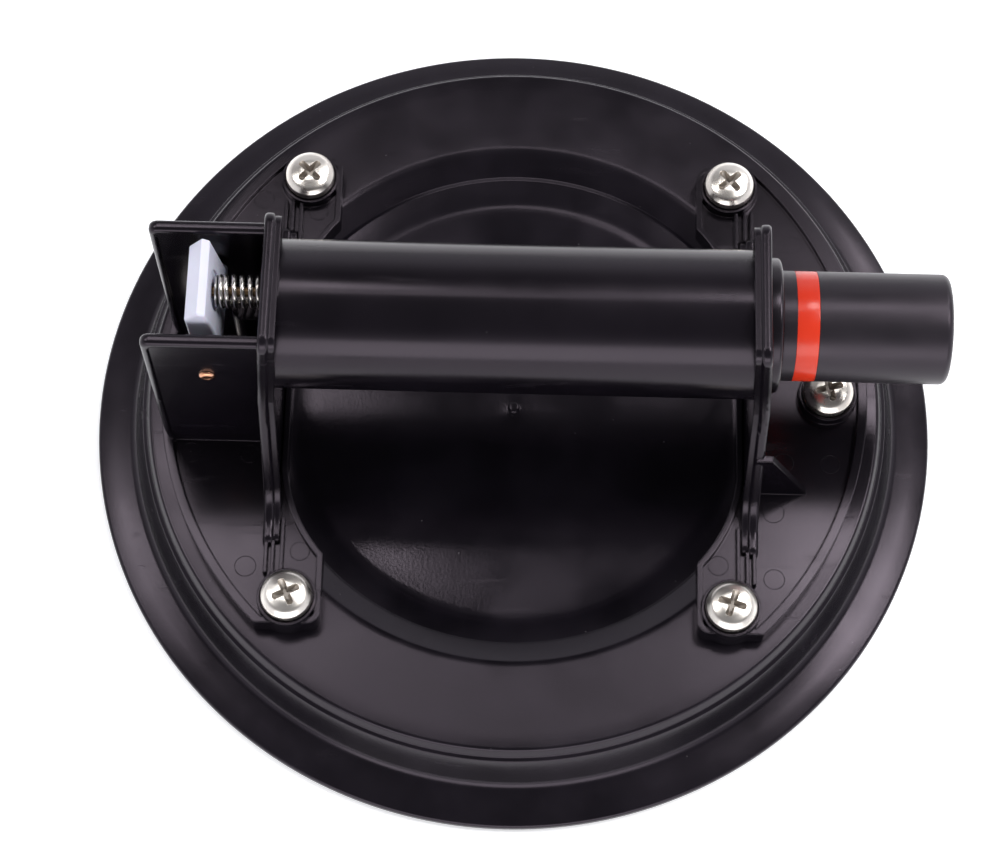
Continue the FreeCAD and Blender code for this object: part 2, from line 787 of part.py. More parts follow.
# ---------------------------------------------------------------- release valve and lever
def release_lever():
    """The white thumb lever: a ridged tab on its hub, with the valve spring's seat and the stem's socket."""
    top = lever_height
    outline = [point(lever_hub_radius, 0), point(lever_root_half, lever_root_height),
               point(lever_inner_half, top - lever_inner_bevel), point(lever_ridge, top),
               point(-lever_outer_half, top - lever_outer_bevel),
               point(-lever_hub_radius, lever_root_height), point(-lever_hub_radius, 0)]
    tab = prism_y(outline, 0, 2 * lever_half_width)
    ends = []
    for edge in tab.Edges:
        if edge.BoundBox.YLength < 0.01 and edge.BoundBox.ZMin > lever_root_height - overcut:
            ends.append(edge)
    tab = tab.makeFillet(lever_end_round, ends)
    lever = tab.fuse(rod_y(lever_hub_radius, -lever_hub_half, lever_hub_half, 0, 0))
    rise = (valve_height - lever_pivot_height) / math.cos(math.radians(lever_lean))
    seat = rod_x(spring_seat_radius, spring_seat_face, spring_seat_face + lever_hub_radius, rise)
    lever = lever.cut(seat)
    lever.rotate(Vec(0, 0, 0), Vec(0, 1, 0), -lever_lean)
    lever.translate(Vec(-lever_pivot, 0, lever_pivot_height))
    socket = rod_x(lever_socket_radius, -stem_out - lever_socket_gap, -clip_place, valve_height)
    lever = lever.cut(socket)
    bore = lever_pin_radius + running_clearance
    return lever.cut(rod_y(bore, -lever_hub_half - overcut, lever_hub_half + overcut, -lever_pivot,
                           lever_pivot_height))


def lever_pin():
    """The copper pin of the lever, with a domed head outside each guard wall."""
    reach = guard_place + guard_thickness / 2
    radius = lever_pin_head_radius
    top = reach + lever_pin_head_height
    flat = radius - lever_pin_head_round
    bulge = radius - lever_pin_head_height * (1 - math.sqrt(0.5))
    mid = reach + lever_pin_head_height * math.sqrt(0.5)
    edges = [
        line(point(0, -top), point(flat, -top)),
        arc(point(flat, -top), point(bulge, -mid), point(radius, -reach)),
        line(point(radius, -reach), point(lever_pin_radius, -reach)),
        line(point(lever_pin_radius, -reach), point(lever_pin_radius, reach)),
        line(point(lever_pin_radius, reach), point(radius, reach)),
        arc(point(radius, reach), point(bulge, mid), point(flat, top)),
        line(point(flat, top), point(0, top)),
        line(point(0, top), point(0, -top)),
    ]
    pin = Part.Face(Part.Wire(edges)).revolve(Vec(0, 0, 0), Vec(0, 0, 1), 360)
    pin.rotate(Vec(0, 0, 0), Vec(1, 0, 0), 90)
    pin.translate(Vec(-lever_pivot, 0, lever_pivot_height))
    return pin


def valve_stem():
    """The stem of the release valve, rounded at the lever and headed by the poppet inside."""
    disc_end = -valve_seat + valve_disc_thickness
    stem = rod_x(stem_radius, -stem_out + stem_radius, disc_end, valve_height)
    stem = stem.fuse(Part.makeSphere(stem_radius, Vec(-stem_out + stem_radius, 0, valve_height)))
    stem = stem.fuse(rod_x(poppet_radius, disc_end, disc_end + poppet_thickness, valve_height))
    inner = stem_radius - clip_groove
    groove = tube_x(stem_radius + overcut, inner, -clip_place, -clip_place + clip_thickness, valve_height)
    return stem.cut(groove)


def valve_disc():
    """The rubber washer that closes on the valve seat."""
    end = -valve_seat + valve_disc_thickness
    return tube_x(poppet_radius, stem_radius + fixed_clearance, -valve_seat, end, valve_height)


def stem_clip():
    """The clip on the stem that the valve spring pushes."""
    inner = stem_radius - clip_groove + fixed_clearance
    return tube_x(clip_radius, inner, -clip_place, -clip_place + clip_thickness, valve_height)


def valve_spring():
    """The spring between the upright and the clip that keeps the valve shut."""
    lean = math.tan(math.radians(upright_lean))
    crown = valve_height + valve_spring_radius - upright_bend_height
    web = upright_foot + upright_width - upright_recess - (crown - 2 * valve_spring_radius) * lean
    return coil_spring(valve_spring_radius, valve_spring_wire, valve_spring_turns,
                       -clip_place + clip_thickness, -web, valve_height)


nodes = {
    "suction_pad": suction_pad,
    "backing_ring": backing_ring,
    "threaded_inserts": threaded_inserts,
    "flange_screws": flange_screws,
    "filter_disc": filter_disc,
    "port_gasket": port_gasket,
    "handle_frame": handle_frame,
    "cylinder_liner": cylinder_liner,
    "guide_bush": guide_bush,
    "wiper_ring": wiper_ring,
    "plunger_tube": plunger_tube,
    "red_ring": red_ring,
    "piston": piston,
    "piston_seal": piston_seal,
    "seal_retainer": seal_retainer,
    "piston_screw": piston_screw,
    "return_spring": return_spring,
    "release_lever": release_lever,
    "lever_pin": lever_pin,
    "valve_stem": valve_stem,
    "valve_disc": valve_disc,
    "stem_clip": stem_clip,
    "valve_spring": valve_spring,
}

os.makedirs("parts", exist_ok=True)
for name, make in nodes.items():
    shape = make()
    shape.exportStep(os.path.join("parts", name + ".step"))
    print(name, "solids", len(shape.Solids), "valid", shape.isValid(), "volume", round(shape.Volume, 1))
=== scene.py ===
"""A hand vacuum lifter for floor tiles, dressed for the camera.

A rubber pad carries a moulded black grip that holds a hand pump.  The pump's plunger has a red band, and a
white thumb lever between two guard walls lets the air back in.  Everything is in metres: +Z is up out of the
pad, +X runs along the grip toward the plunger, and the origin is the pad's centre on the floor.
"""
import logging
import math
from collections.abc import Mapping, Sequence
from dataclasses import dataclass, field
from enum import Enum

import bmesh
import bpy
from mathutils import Matrix, Vector


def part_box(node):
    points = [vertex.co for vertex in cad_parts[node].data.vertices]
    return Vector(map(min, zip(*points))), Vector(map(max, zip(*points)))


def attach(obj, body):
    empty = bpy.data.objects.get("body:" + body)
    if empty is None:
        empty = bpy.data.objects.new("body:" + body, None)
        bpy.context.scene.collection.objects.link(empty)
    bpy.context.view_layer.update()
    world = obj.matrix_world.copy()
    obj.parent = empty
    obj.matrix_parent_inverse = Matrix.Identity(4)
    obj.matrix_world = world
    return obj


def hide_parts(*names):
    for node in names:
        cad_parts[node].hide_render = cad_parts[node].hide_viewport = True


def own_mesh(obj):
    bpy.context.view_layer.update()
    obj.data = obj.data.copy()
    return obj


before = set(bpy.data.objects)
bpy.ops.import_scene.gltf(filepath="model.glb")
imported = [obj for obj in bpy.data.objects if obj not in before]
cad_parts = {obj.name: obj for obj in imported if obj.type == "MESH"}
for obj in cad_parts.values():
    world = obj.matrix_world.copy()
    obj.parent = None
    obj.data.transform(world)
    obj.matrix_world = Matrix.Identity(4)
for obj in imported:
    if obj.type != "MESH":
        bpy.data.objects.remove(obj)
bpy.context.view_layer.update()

logging.basicConfig(level=logging.INFO, format="%(levelname)s %(message)s")
log = logging.getLogger("tile_lifter")

Colour = tuple[float, float, float]
Point = tuple[float, float]
Spot = tuple[float, float, float]
Corner = tuple[float, float, float]
Socket = bpy.types.NodeSocket
Tree = bpy.types.NodeTree

CREASE_ANGLE = math.radians(32.0)
QUARTER_TURN = math.pi / 2.0
FULL_TURN = 2.0 * math.pi
ORIGIN = Vector((0.0, 0.0, 0.0))


class Body(Enum):
    """The rigid bodies that pieces ride on."""

    LIFTER = "lifter"
    PLUNGER = "plunger"
    LEVER = "lever"
    VALVE = "valve"


class Axis(Enum):
    """The axis that a turned piece is turned about."""

    X = "x"
    Z = "z"


class Kind(Enum):
    """What a finish is made of, which sets how it reflects."""

    PLASTIC = "plastic or rubber"
    METAL = "bare metal"


@dataclass(frozen=True)
class Finish:
    """One surface finish: its colours, its gloss and how strongly each shared effect shows.

    The grain is grain_depth deep and grain_scale counts its waves in a metre.  wear, dust, specks, soil and
    polish are the shares of edge wear, settled film, bright grains, dirt in recesses and mould polish.
    edge_round is the radius that sharp edges seem to have.
    """

    name: str
    slot: str
    kind: Kind
    colour: Colour
    dark: Colour
    rough: float
    rough_spread: float = 0.06
    grain_scale: float = 900.0
    grain_depth: float = 0.00001
    wear: float = 0.2
    wear_colour: Colour = (0.2, 0.2, 0.2)
    dust: float = 0.02
    specks: float = 0.0
    specular: float = 0.5
    coat: float = 0.0
    soft_light: float = 0.0
    soil: float = 0.0
    polish: float = 0.0
    tint: Colour = (1.0, 1.0, 1.0)
    edge_round: float = 0.00012


DUST: Colour = (0.16, 0.15, 0.16)
SOIL: Colour = (0.055, 0.034, 0.024)
BLACK_TINT: Colour = (1.0, 0.85, 1.0)

PAD_RUBBER = Finish(
    "pad rubber", "pad_rubber", Kind.PLASTIC, colour=(0.0060, 0.0048, 0.0076),
    dark=(0.0030, 0.0024, 0.0040), rough=0.23, rough_spread=0.07, grain_scale=1400.0, grain_depth=0.000012,
    wear=0.10, wear_colour=(0.05, 0.048, 0.055), dust=0.020, specks=0.25, specular=0.36, polish=0.11,
    tint=BLACK_TINT, edge_round=0.0003)
FRAME_BLACK = Finish(
    "frame black", "frame_plastic", Kind.PLASTIC, colour=(0.0042, 0.0032, 0.0052),
    dark=(0.0022, 0.0017, 0.0028), rough=0.20, rough_spread=0.08, grain_scale=700.0, grain_depth=0.000005,
    wear=0.22, wear_colour=(0.045, 0.042, 0.048), dust=0.016, specks=0.40, specular=0.36, tint=BLACK_TINT,
    edge_round=0.0005)
PLUNGER_BLACK = Finish(
    "plunger black", "plunger_plastic", Kind.PLASTIC, colour=(0.0150, 0.0130, 0.0160),
    dark=(0.0090, 0.0080, 0.0100), rough=0.33, rough_spread=0.08, grain_scale=1100.0, grain_depth=0.000008,
    wear=0.18, wear_colour=(0.06, 0.055, 0.06), dust=0.015, specks=0.15, specular=0.38, tint=BLACK_TINT)
BUSH_BLACK = Finish(
    "bush black", "bush_plastic", Kind.PLASTIC, colour=(0.0060, 0.0050, 0.0068),
    dark=(0.0035, 0.0030, 0.0040), rough=0.24, grain_depth=0.000006, wear=0.18,
    wear_colour=(0.05, 0.045, 0.05), dust=0.010, specular=0.36, tint=BLACK_TINT)
BAND_RED = Finish(
    "band red", "red_plastic", Kind.PLASTIC, colour=(0.74, 0.045, 0.014), dark=(0.62, 0.028, 0.010),
    rough=0.24, grain_scale=600.0, grain_depth=0.000005, wear=0.08, wear_colour=(0.7, 0.12, 0.08),
    dust=0.010, specular=0.38, coat=0.08, soft_light=0.10)
TAB_WHITE = Finish(
    "tab white", "white_plastic", Kind.PLASTIC, colour=(0.80, 0.80, 0.95), dark=(0.75, 0.75, 0.89),
    rough=0.36, grain_depth=0.000007, wear=0.08, wear_colour=(0.85, 0.85, 0.93), dust=0.020, specks=0.1,
    specular=0.45, soft_light=0.08, edge_round=0.0004)
SCREW_NICKEL = Finish(
    "screw nickel", "nickel_steel", Kind.METAL, colour=(0.93, 0.88, 0.82), dark=(0.78, 0.72, 0.66),
    rough=0.28, rough_spread=0.08, grain_scale=1800.0, grain_depth=0.000006, wear=0.25,
    wear_colour=(0.95, 0.92, 0.88), dust=0.010, soil=0.65)
SPRING_STEEL = Finish(
    "spring steel", "spring_steel", Kind.METAL, colour=(0.66, 0.63, 0.60), dark=(0.36, 0.33, 0.31),
    rough=0.22, rough_spread=0.08, grain_scale=2200.0, grain_depth=0.000004, wear=0.25,
    wear_colour=(0.85, 0.84, 0.82))
ZINC_STEEL = Finish(
    "zinc steel", "zinc_steel", Kind.METAL, colour=(0.62, 0.63, 0.65), dark=(0.42, 0.42, 0.43), rough=0.32,
    rough_spread=0.08, grain_scale=1500.0, grain_depth=0.000006, wear=0.3, wear_colour=(0.8, 0.8, 0.8))
INSERT_BRASS = Finish(
    "insert brass", "insert_brass", Kind.METAL, colour=(0.78, 0.58, 0.27), dark=(0.45, 0.30, 0.12),
    rough=0.26, rough_spread=0.08, grain_scale=1500.0, grain_depth=0.000006, wear=0.3,
    wear_colour=(0.95, 0.8, 0.5))
# A darker copy of the insert brass, in the same slot: painted shade for the valve stem under the lever.
SHADED_STEM_BRASS = Finish(
    "stem brass painted shade", "insert_brass", Kind.METAL, colour=(0.34, 0.22, 0.12), dark=(0.16, 0.10, 0.06),
    rough=0.36, rough_spread=0.08, grain_scale=1500.0, grain_depth=0.000006, wear=0.3,
    wear_colour=(0.6, 0.45, 0.25))
PIN_COPPER = Finish(
    "pin copper", "pin_copper", Kind.METAL, colour=(0.86, 0.45, 0.28), dark=(0.48, 0.20, 0.11), rough=0.22,
    rough_spread=0.08, grain_scale=1500.0, grain_depth=0.000006, wear=0.3, wear_colour=(1.0, 0.75, 0.6))
LINER_ALUMINIUM = Finish(
    "liner aluminium", "liner_aluminium", Kind.METAL, colour=(0.80, 0.81, 0.83), dark=(0.6, 0.6, 0.62),
    rough=0.24, grain_scale=1500.0, grain_depth=0.000005, wear_colour=(0.95, 0.95, 0.95))
SEAL_RUBBER = Finish(
    "seal rubber", "seal_rubber", Kind.PLASTIC, colour=(0.012, 0.012, 0.013), dark=(0.008, 0.008, 0.009),
    rough=0.48, rough_spread=0.08, grain_scale=1200.0, wear=0.1, wear_colour=(0.05, 0.05, 0.05),
    specular=0.3)
FELT_CREAM = Finish(
    "felt cream", "felt", Kind.PLASTIC, colour=(0.68, 0.65, 0.58), dark=(0.45, 0.42, 0.37), rough=0.9,
    rough_spread=0.05, grain_scale=2400.0, grain_depth=0.0001, wear=0.1, wear_colour=(0.7, 0.7, 0.65),
    dust=0.05, specular=0.2)


# ----------------------------------------------------------------------------- node trees
@dataclass
class Wiring:
    """Places the nodes of one tree and links them."""

    tree: Tree

    def feed(self, target: Socket, value: object) -> None:
        """Link a socket to an input, or set the input's own value.

        Args:
            target: the input.
            value: the socket to link, or the value to set.
        """
        if isinstance(value, bpy.types.NodeSocket):
            self.tree.links.new(value, target)
        else:
            target.default_value = value

    def node(self, kind: str, inputs: Mapping[str | int, object] | None = None,
             **settings: object) -> bpy.types.Node:
        """Place a node.

        Args:
            kind: Blender's name of the node's type.
            inputs: what feeds each input, by the input's name or number.
            settings: the node's own properties.

        Returns:
            The node.
        """
        node = self.tree.nodes.new(kind)
        for title, value in settings.items():
            setattr(node, title, value)
        for key, value in (inputs or {}).items():
            self.feed(node.inputs[key], value)
        return node

    def math(self, operation: str, *values: object) -> Socket:
        """Place a math node on sockets or numbers, and give its result."""
        return self.node("ShaderNodeMath", dict(enumerate(values)), operation=operation).outputs[0]

    def between(self, value: Socket, low: float, high: float) -> Socket:
        """Spread the values from low to high over 0 to 1, and clamp what is past the ends."""
        spread = self.node("ShaderNodeMapRange", {"Value": value, "From Min": low, "From Max": high})
        return spread.outputs["Result"]

    def blend(self, mask: Socket, low: object, high: Colour) -> Socket:
        """Mix two colours by a mask.

        Args:
            mask: 0 for the low colour and 1 for the high one.
            low: a colour or a colour's socket.
            high: the colour at full mask.

        Returns:
            The mixed colour's socket.
        """
        start = low if isinstance(low, bpy.types.NodeSocket) else (*low, 1.0)
        mix = self.node("ShaderNodeMix", {"Factor": mask, 6: start, 7: (*high, 1.0)}, data_type="RGBA")
        return mix.outputs[2]


@dataclass
class EffectGroup(Wiring):
    """A shader node group of number sockets, used by several finishes."""

    ins: bpy.types.NodeOutputs
    outs: bpy.types.NodeInputs

    @classmethod
    def begin(cls, name: str, inputs: Mapping[str, float], outputs: Sequence[str]) -> "EffectGroup":
        """Start a group.

        Args:
            name: the group's name.
            inputs: each input's name and default.
            outputs: the outputs' names.

        Returns:
            The group, ready to be wired.
        """
        tree = bpy.data.node_groups.new(name, "ShaderNodeTree")
        for title, default in inputs.items():
            socket = tree.interface.new_socket(name=title, in_out="INPUT", socket_type="NodeSocketFloat")
            socket.default_value = default
        for title in outputs:
            tree.interface.new_socket(name=title, in_out="OUTPUT", socket_type="NodeSocketFloat")
        return cls(tree, tree.nodes.new("NodeGroupInput").outputs, tree.nodes.new("NodeGroupOutput").inputs)

    def noise(self, scale: object, detail: float, **more: float) -> Socket:
        """Place a noise of so many waves a metre on the piece's own coordinates."""
        place = self.node("ShaderNodeTexCoord").outputs["Object"]
        return self.node("ShaderNodeTexNoise",
                         {"Vector": place, "Scale": scale, "Detail": detail, **more}).outputs["Fac"]


@dataclass
class GrowthTree(Wiring):
    """A Geometry Nodes tree with named inputs, which ends in real geometry with its material."""

    ins: bpy.types.NodeOutputs
    outs: bpy.types.NodeInputs

    @classmethod
    def begin(cls, name: str, inputs: Mapping[str, str]) -> "GrowthTree":
        """Start a tree whose last input is its finish.

        Args:
            name: the tree's name.
            inputs: each input's name and the last word of its socket type.

        Returns:
            The tree, ready to be wired.
        """
        tree = bpy.data.node_groups.new(name, "GeometryNodeTree")
        for title, kind in (*inputs.items(), ("Finish", "Material")):
            tree.interface.new_socket(name=title, in_out="INPUT", socket_type="NodeSocket" + kind)
        tree.interface.new_socket(name="Geometry", in_out="OUTPUT", socket_type="NodeSocketGeometry")
        return cls(tree, tree.nodes.new("NodeGroupInput").outputs, tree.nodes.new("NodeGroupOutput").inputs)

    def tube(self, path: Socket, radius: Socket, sides: int, capped: bool) -> Socket:
        """Place a round tube along a curve.

        Args:
            path: the curve.
            radius: the tube's radius.
            sides: the points round it.
            capped: whether its ends are closed.

        Returns:
            The smoothly shaded tube's socket.
        """
        section = self.node("GeometryNodeCurvePrimitiveCircle", {"Resolution": sides, "Radius": radius})
        skin = self.node("GeometryNodeCurveToMesh", {"Curve": path, "Profile Curve": section.outputs["Curve"],
                                                     "Fill Caps": capped})
        return self.node("GeometryNodeSetShadeSmooth", {"Geometry": skin.outputs[0]}).outputs["Geometry"]

    def chance(self, low: object, high: float) -> Socket:
        """Place a random number from low to high for each point, drawn from the Seed input."""
        return self.node("FunctionNodeRandomValue", {2: low, 3: high, "Seed": self.ins["Seed"]},
                         data_type="FLOAT").outputs[1]

    def close(self, geometry: Socket) -> Tree:
        """End the tree in real geometry that wears its finish.

        Args:
            geometry: what the tree has made.

        Returns:
            The whole tree.
        """
        real = self.node("GeometryNodeRealizeInstances", {0: geometry})
        paint = self.node("GeometryNodeSetMaterial",
                          {"Geometry": real.outputs[0], "Material": self.ins["Finish"]})
        self.feed(self.outs["Geometry"], paint.outputs[0])
        return self.tree


# ----------------------------------------------------------------------------- finishes made real
@dataclass
class SharedEffects:
    """The node groups that every finish places with its own values.

    A band is the two values between which a mask rises from 0 to 1.  Each speck lies in a cell of its own, of
    which speck_cells fill a metre, and reaches at most speck_reach of the cell.
    """

    grain_drift: float = 0.045
    grain_band: Point = (0.34, 0.66)
    edge_band: Point = (0.52, 0.66)
    level_band: Point = (0.2, 1.0)
    speck_cells: float = 330.0
    speck_rarity: float = 6.0
    speck_reach: float = 0.075
    mark_band: Point = (0.62, 0.72)
    mark_stretch: Spot = (0.12, 1.0, 1.0)
    mark_turn: Spot = (0.2, 0.3, 0.5)

    def __post_init__(self) -> None:
        """Build every group once."""
        self.grain = self._grain()
        self.wear = self._edge_wear()
        self.dust = self._dust()
        self.marks = self._marks()

    def _grain(self) -> Tree:
        """Fine moulding or machining grain: a height and a slow change of tone.

        Returns:
            The group.
        """
        group = EffectGroup.begin("surface grain", {"Scale": 900.0}, ("Height", "Tone"))
        scale = group.ins["Scale"]
        slow = group.noise(group.math("MULTIPLY", scale, self.grain_drift), 3.0)
        group.feed(group.outs["Height"], group.noise(scale, 4.0, Roughness=0.6))
        group.feed(group.outs["Tone"], group.between(slow, *self.grain_band))
        return group.tree

    def _edge_wear(self) -> Tree:
        """A broken mask where edges are exposed, from the surface's convexity.

        Returns:
            The group.
        """
        group = EffectGroup.begin("edge wear", {"Amount": 0.2, "Scale": 220.0}, ("Mask",))
        convex = group.node("ShaderNodeNewGeometry").outputs["Pointiness"]
        exposed = group.between(convex, *self.edge_band)
        broken = group.math("MULTIPLY", exposed, group.noise(group.ins["Scale"], 5.0))
        group.feed(group.outs["Mask"], group.math("MULTIPLY", broken, group.ins["Amount"]))
        return group.tree

    def _dust(self) -> Tree:
        """A thin settled film on surfaces that face up, in soft patches, with a few bright specks.

        Returns:
            The group, whose Mask is the film and whose Specks are the grains on it.
        """
        group = EffectGroup.begin("settled dust", {"Amount": 0.1, "Scale": 60.0, "Speck Amount": 0.0},
                                  ("Mask", "Specks"))
        normal = group.node("ShaderNodeNewGeometry").outputs["Normal"]
        upward = group.node("ShaderNodeSeparateXYZ", {"Vector": normal}).outputs["Z"]
        facing = group.between(upward, *self.level_band)
        film = group.math("MULTIPLY", facing, group.noise(group.ins["Scale"], 8.0, Roughness=0.65))
        group.feed(group.outs["Mask"], group.math("MULTIPLY", film, group.ins["Amount"]))
        place = group.node("ShaderNodeTexCoord").outputs["Object"]
        cells = group.node("ShaderNodeTexVoronoi", {"Vector": place, "Scale": self.speck_cells})
        draw = group.node("ShaderNodeSeparateColor", {"Color": cells.outputs["Color"]}).outputs["Red"]
        reach = group.math("MULTIPLY", group.math("POWER", draw, self.speck_rarity), self.speck_reach)
        speck = group.math("LESS_THAN", cells.outputs["Distance"], reach)
        lying = group.math("MULTIPLY", speck, facing)
        group.feed(group.outs["Specks"], group.math("MULTIPLY", lying, group.ins["Speck Amount"]))
        return group.tree

    def _marks(self) -> Tree:
        """Sparse hair-thin rubbing marks that run along the part.

        Returns:
            The group.
        """
        group = EffectGroup.begin("handling marks", {"Amount": 0.2, "Scale": 240.0}, ("Mask",))
        place = group.node("ShaderNodeTexCoord").outputs["Object"]
        along = group.node("ShaderNodeMapping", {"Vector": place, "Scale": self.mark_stretch,
                                                 "Rotation": self.mark_turn}).outputs["Vector"]
        lines = group.node("ShaderNodeTexNoise", {"Vector": along, "Scale": group.ins["Scale"], "Detail": 6.0,
                                                  "Distortion": 0.4}).outputs["Fac"]
        thin = group.between(lines, *self.mark_band)
        group.feed(group.outs["Mask"], group.math("MULTIPLY", thin, group.ins["Amount"]))
        return group.tree


@dataclass
class FinishShop:
    """Turns finishes into materials, each made once.

    mark_roughness, dust_roughness and soil_roughness are what a full mask adds to the roughness.
    """

    effects: SharedEffects = field(default_factory=SharedEffects)
    made: dict[str, bpy.types.Material] = field(default_factory=dict)
    wear_coarseness: float = 0.3
    dust_scale: float = 70.0
    mark_scale: float = 260.0
    mark_roughness: float = 0.5
    dust_roughness: float = 0.6
    soil_roughness: float = 0.35
    light_depth: float = 0.002
    edge_samples: int = 6

    def material(self, finish: Finish) -> bpy.types.Material:
        """The material of a finish.

        Args:
            finish: the finish wanted.

        Returns:
            The material, built on first use.
        """
        if finish.name not in self.made:
            self.made[finish.name] = self._build(finish)
        return self.made[finish.name]

    @staticmethod
    def _effect(wiring: Wiring, group: Tree, values: Mapping[str, float]) -> bpy.types.NodeOutputs:
        """Place a shared effect in a material with its own values, and give its outputs."""
        return wiring.node("ShaderNodeGroup", values, node_tree=group).outputs

    @staticmethod
    def _marked(wiring: Wiring, attribute: str, share: float) -> Socket:
        """Read a mask that a piece carries on its points, scaled so that a full mask is the share."""
        mask = wiring.node("ShaderNodeAttribute", attribute_name=attribute).outputs["Fac"]
        return wiring.math("MULTIPLY", mask, share)

    def _build(self, finish: Finish) -> bpy.types.Material:
        """Build one material from its finish.

        Args:
            finish: the finish.

        Returns:
            The material.
        """
        material = bpy.data.materials.new(finish.name)
        material.use_nodes = True
        wiring = Wiring(material.node_tree)
        shader = material.node_tree.nodes["Principled BSDF"]
        effects = self.effects
        grain = self._effect(wiring, effects.grain, {"Scale": finish.grain_scale})
        wear = self._effect(wiring, effects.wear,
                            {"Amount": finish.wear, "Scale": finish.grain_scale * self.wear_coarseness})
        dust = self._effect(wiring, effects.dust, {"Amount": finish.dust, "Scale": self.dust_scale,
                                                   "Speck Amount": finish.specks})
        marks = self._effect(wiring, effects.marks, {"Amount": finish.wear, "Scale": self.mark_scale})
        colour = wiring.blend(grain["Tone"], finish.dark, finish.colour)
        colour = wiring.blend(wear["Mask"], colour, finish.wear_colour)
        colour = wiring.blend(dust["Mask"], colour, DUST)
        if finish.specks > 0.0:
            colour = wiring.blend(dust["Specks"], colour, DUST)
        rough = wiring.math("MULTIPLY", grain["Tone"], finish.rough_spread)
        rough = wiring.math("ADD", rough, finish.rough - finish.rough_spread / 2)
        rough = wiring.math("ADD", rough, wiring.math("MULTIPLY", marks["Mask"], self.mark_roughness))
        rough = wiring.math("ADD", rough, wiring.math("MULTIPLY", dust["Mask"], self.dust_roughness))
        if finish.polish > 0.0:
            rough = wiring.math("SUBTRACT", rough, self._marked(wiring, "polish", finish.polish))
        if finish.soil > 0.0:
            deep = self._marked(wiring, "soil", finish.soil)
            colour = wiring.blend(deep, colour, SOIL)
            rough = wiring.math("ADD", rough, wiring.math("MULTIPLY", deep, self.soil_roughness))
        soft_edge = wiring.node("ShaderNodeBevel", {"Radius": finish.edge_round}, samples=self.edge_samples)
        bump = wiring.node("ShaderNodeBump", {
            "Strength": 1.0, "Distance": finish.grain_depth, "Height": grain["Height"],
            "Normal": soft_edge.outputs["Normal"]})
        for title, value in {
                "Base Color": colour, "Roughness": rough, "Normal": bump.outputs["Normal"],
                "Specular IOR Level": finish.specular, "Specular Tint": (*finish.tint, 1.0),
                "Metallic": float(finish.kind is Kind.METAL), "Coat Weight": finish.coat,
                "Subsurface Weight": finish.soft_light, "Subsurface Scale": self.light_depth}.items():
            wiring.feed(shader.inputs[title], value)
        return material


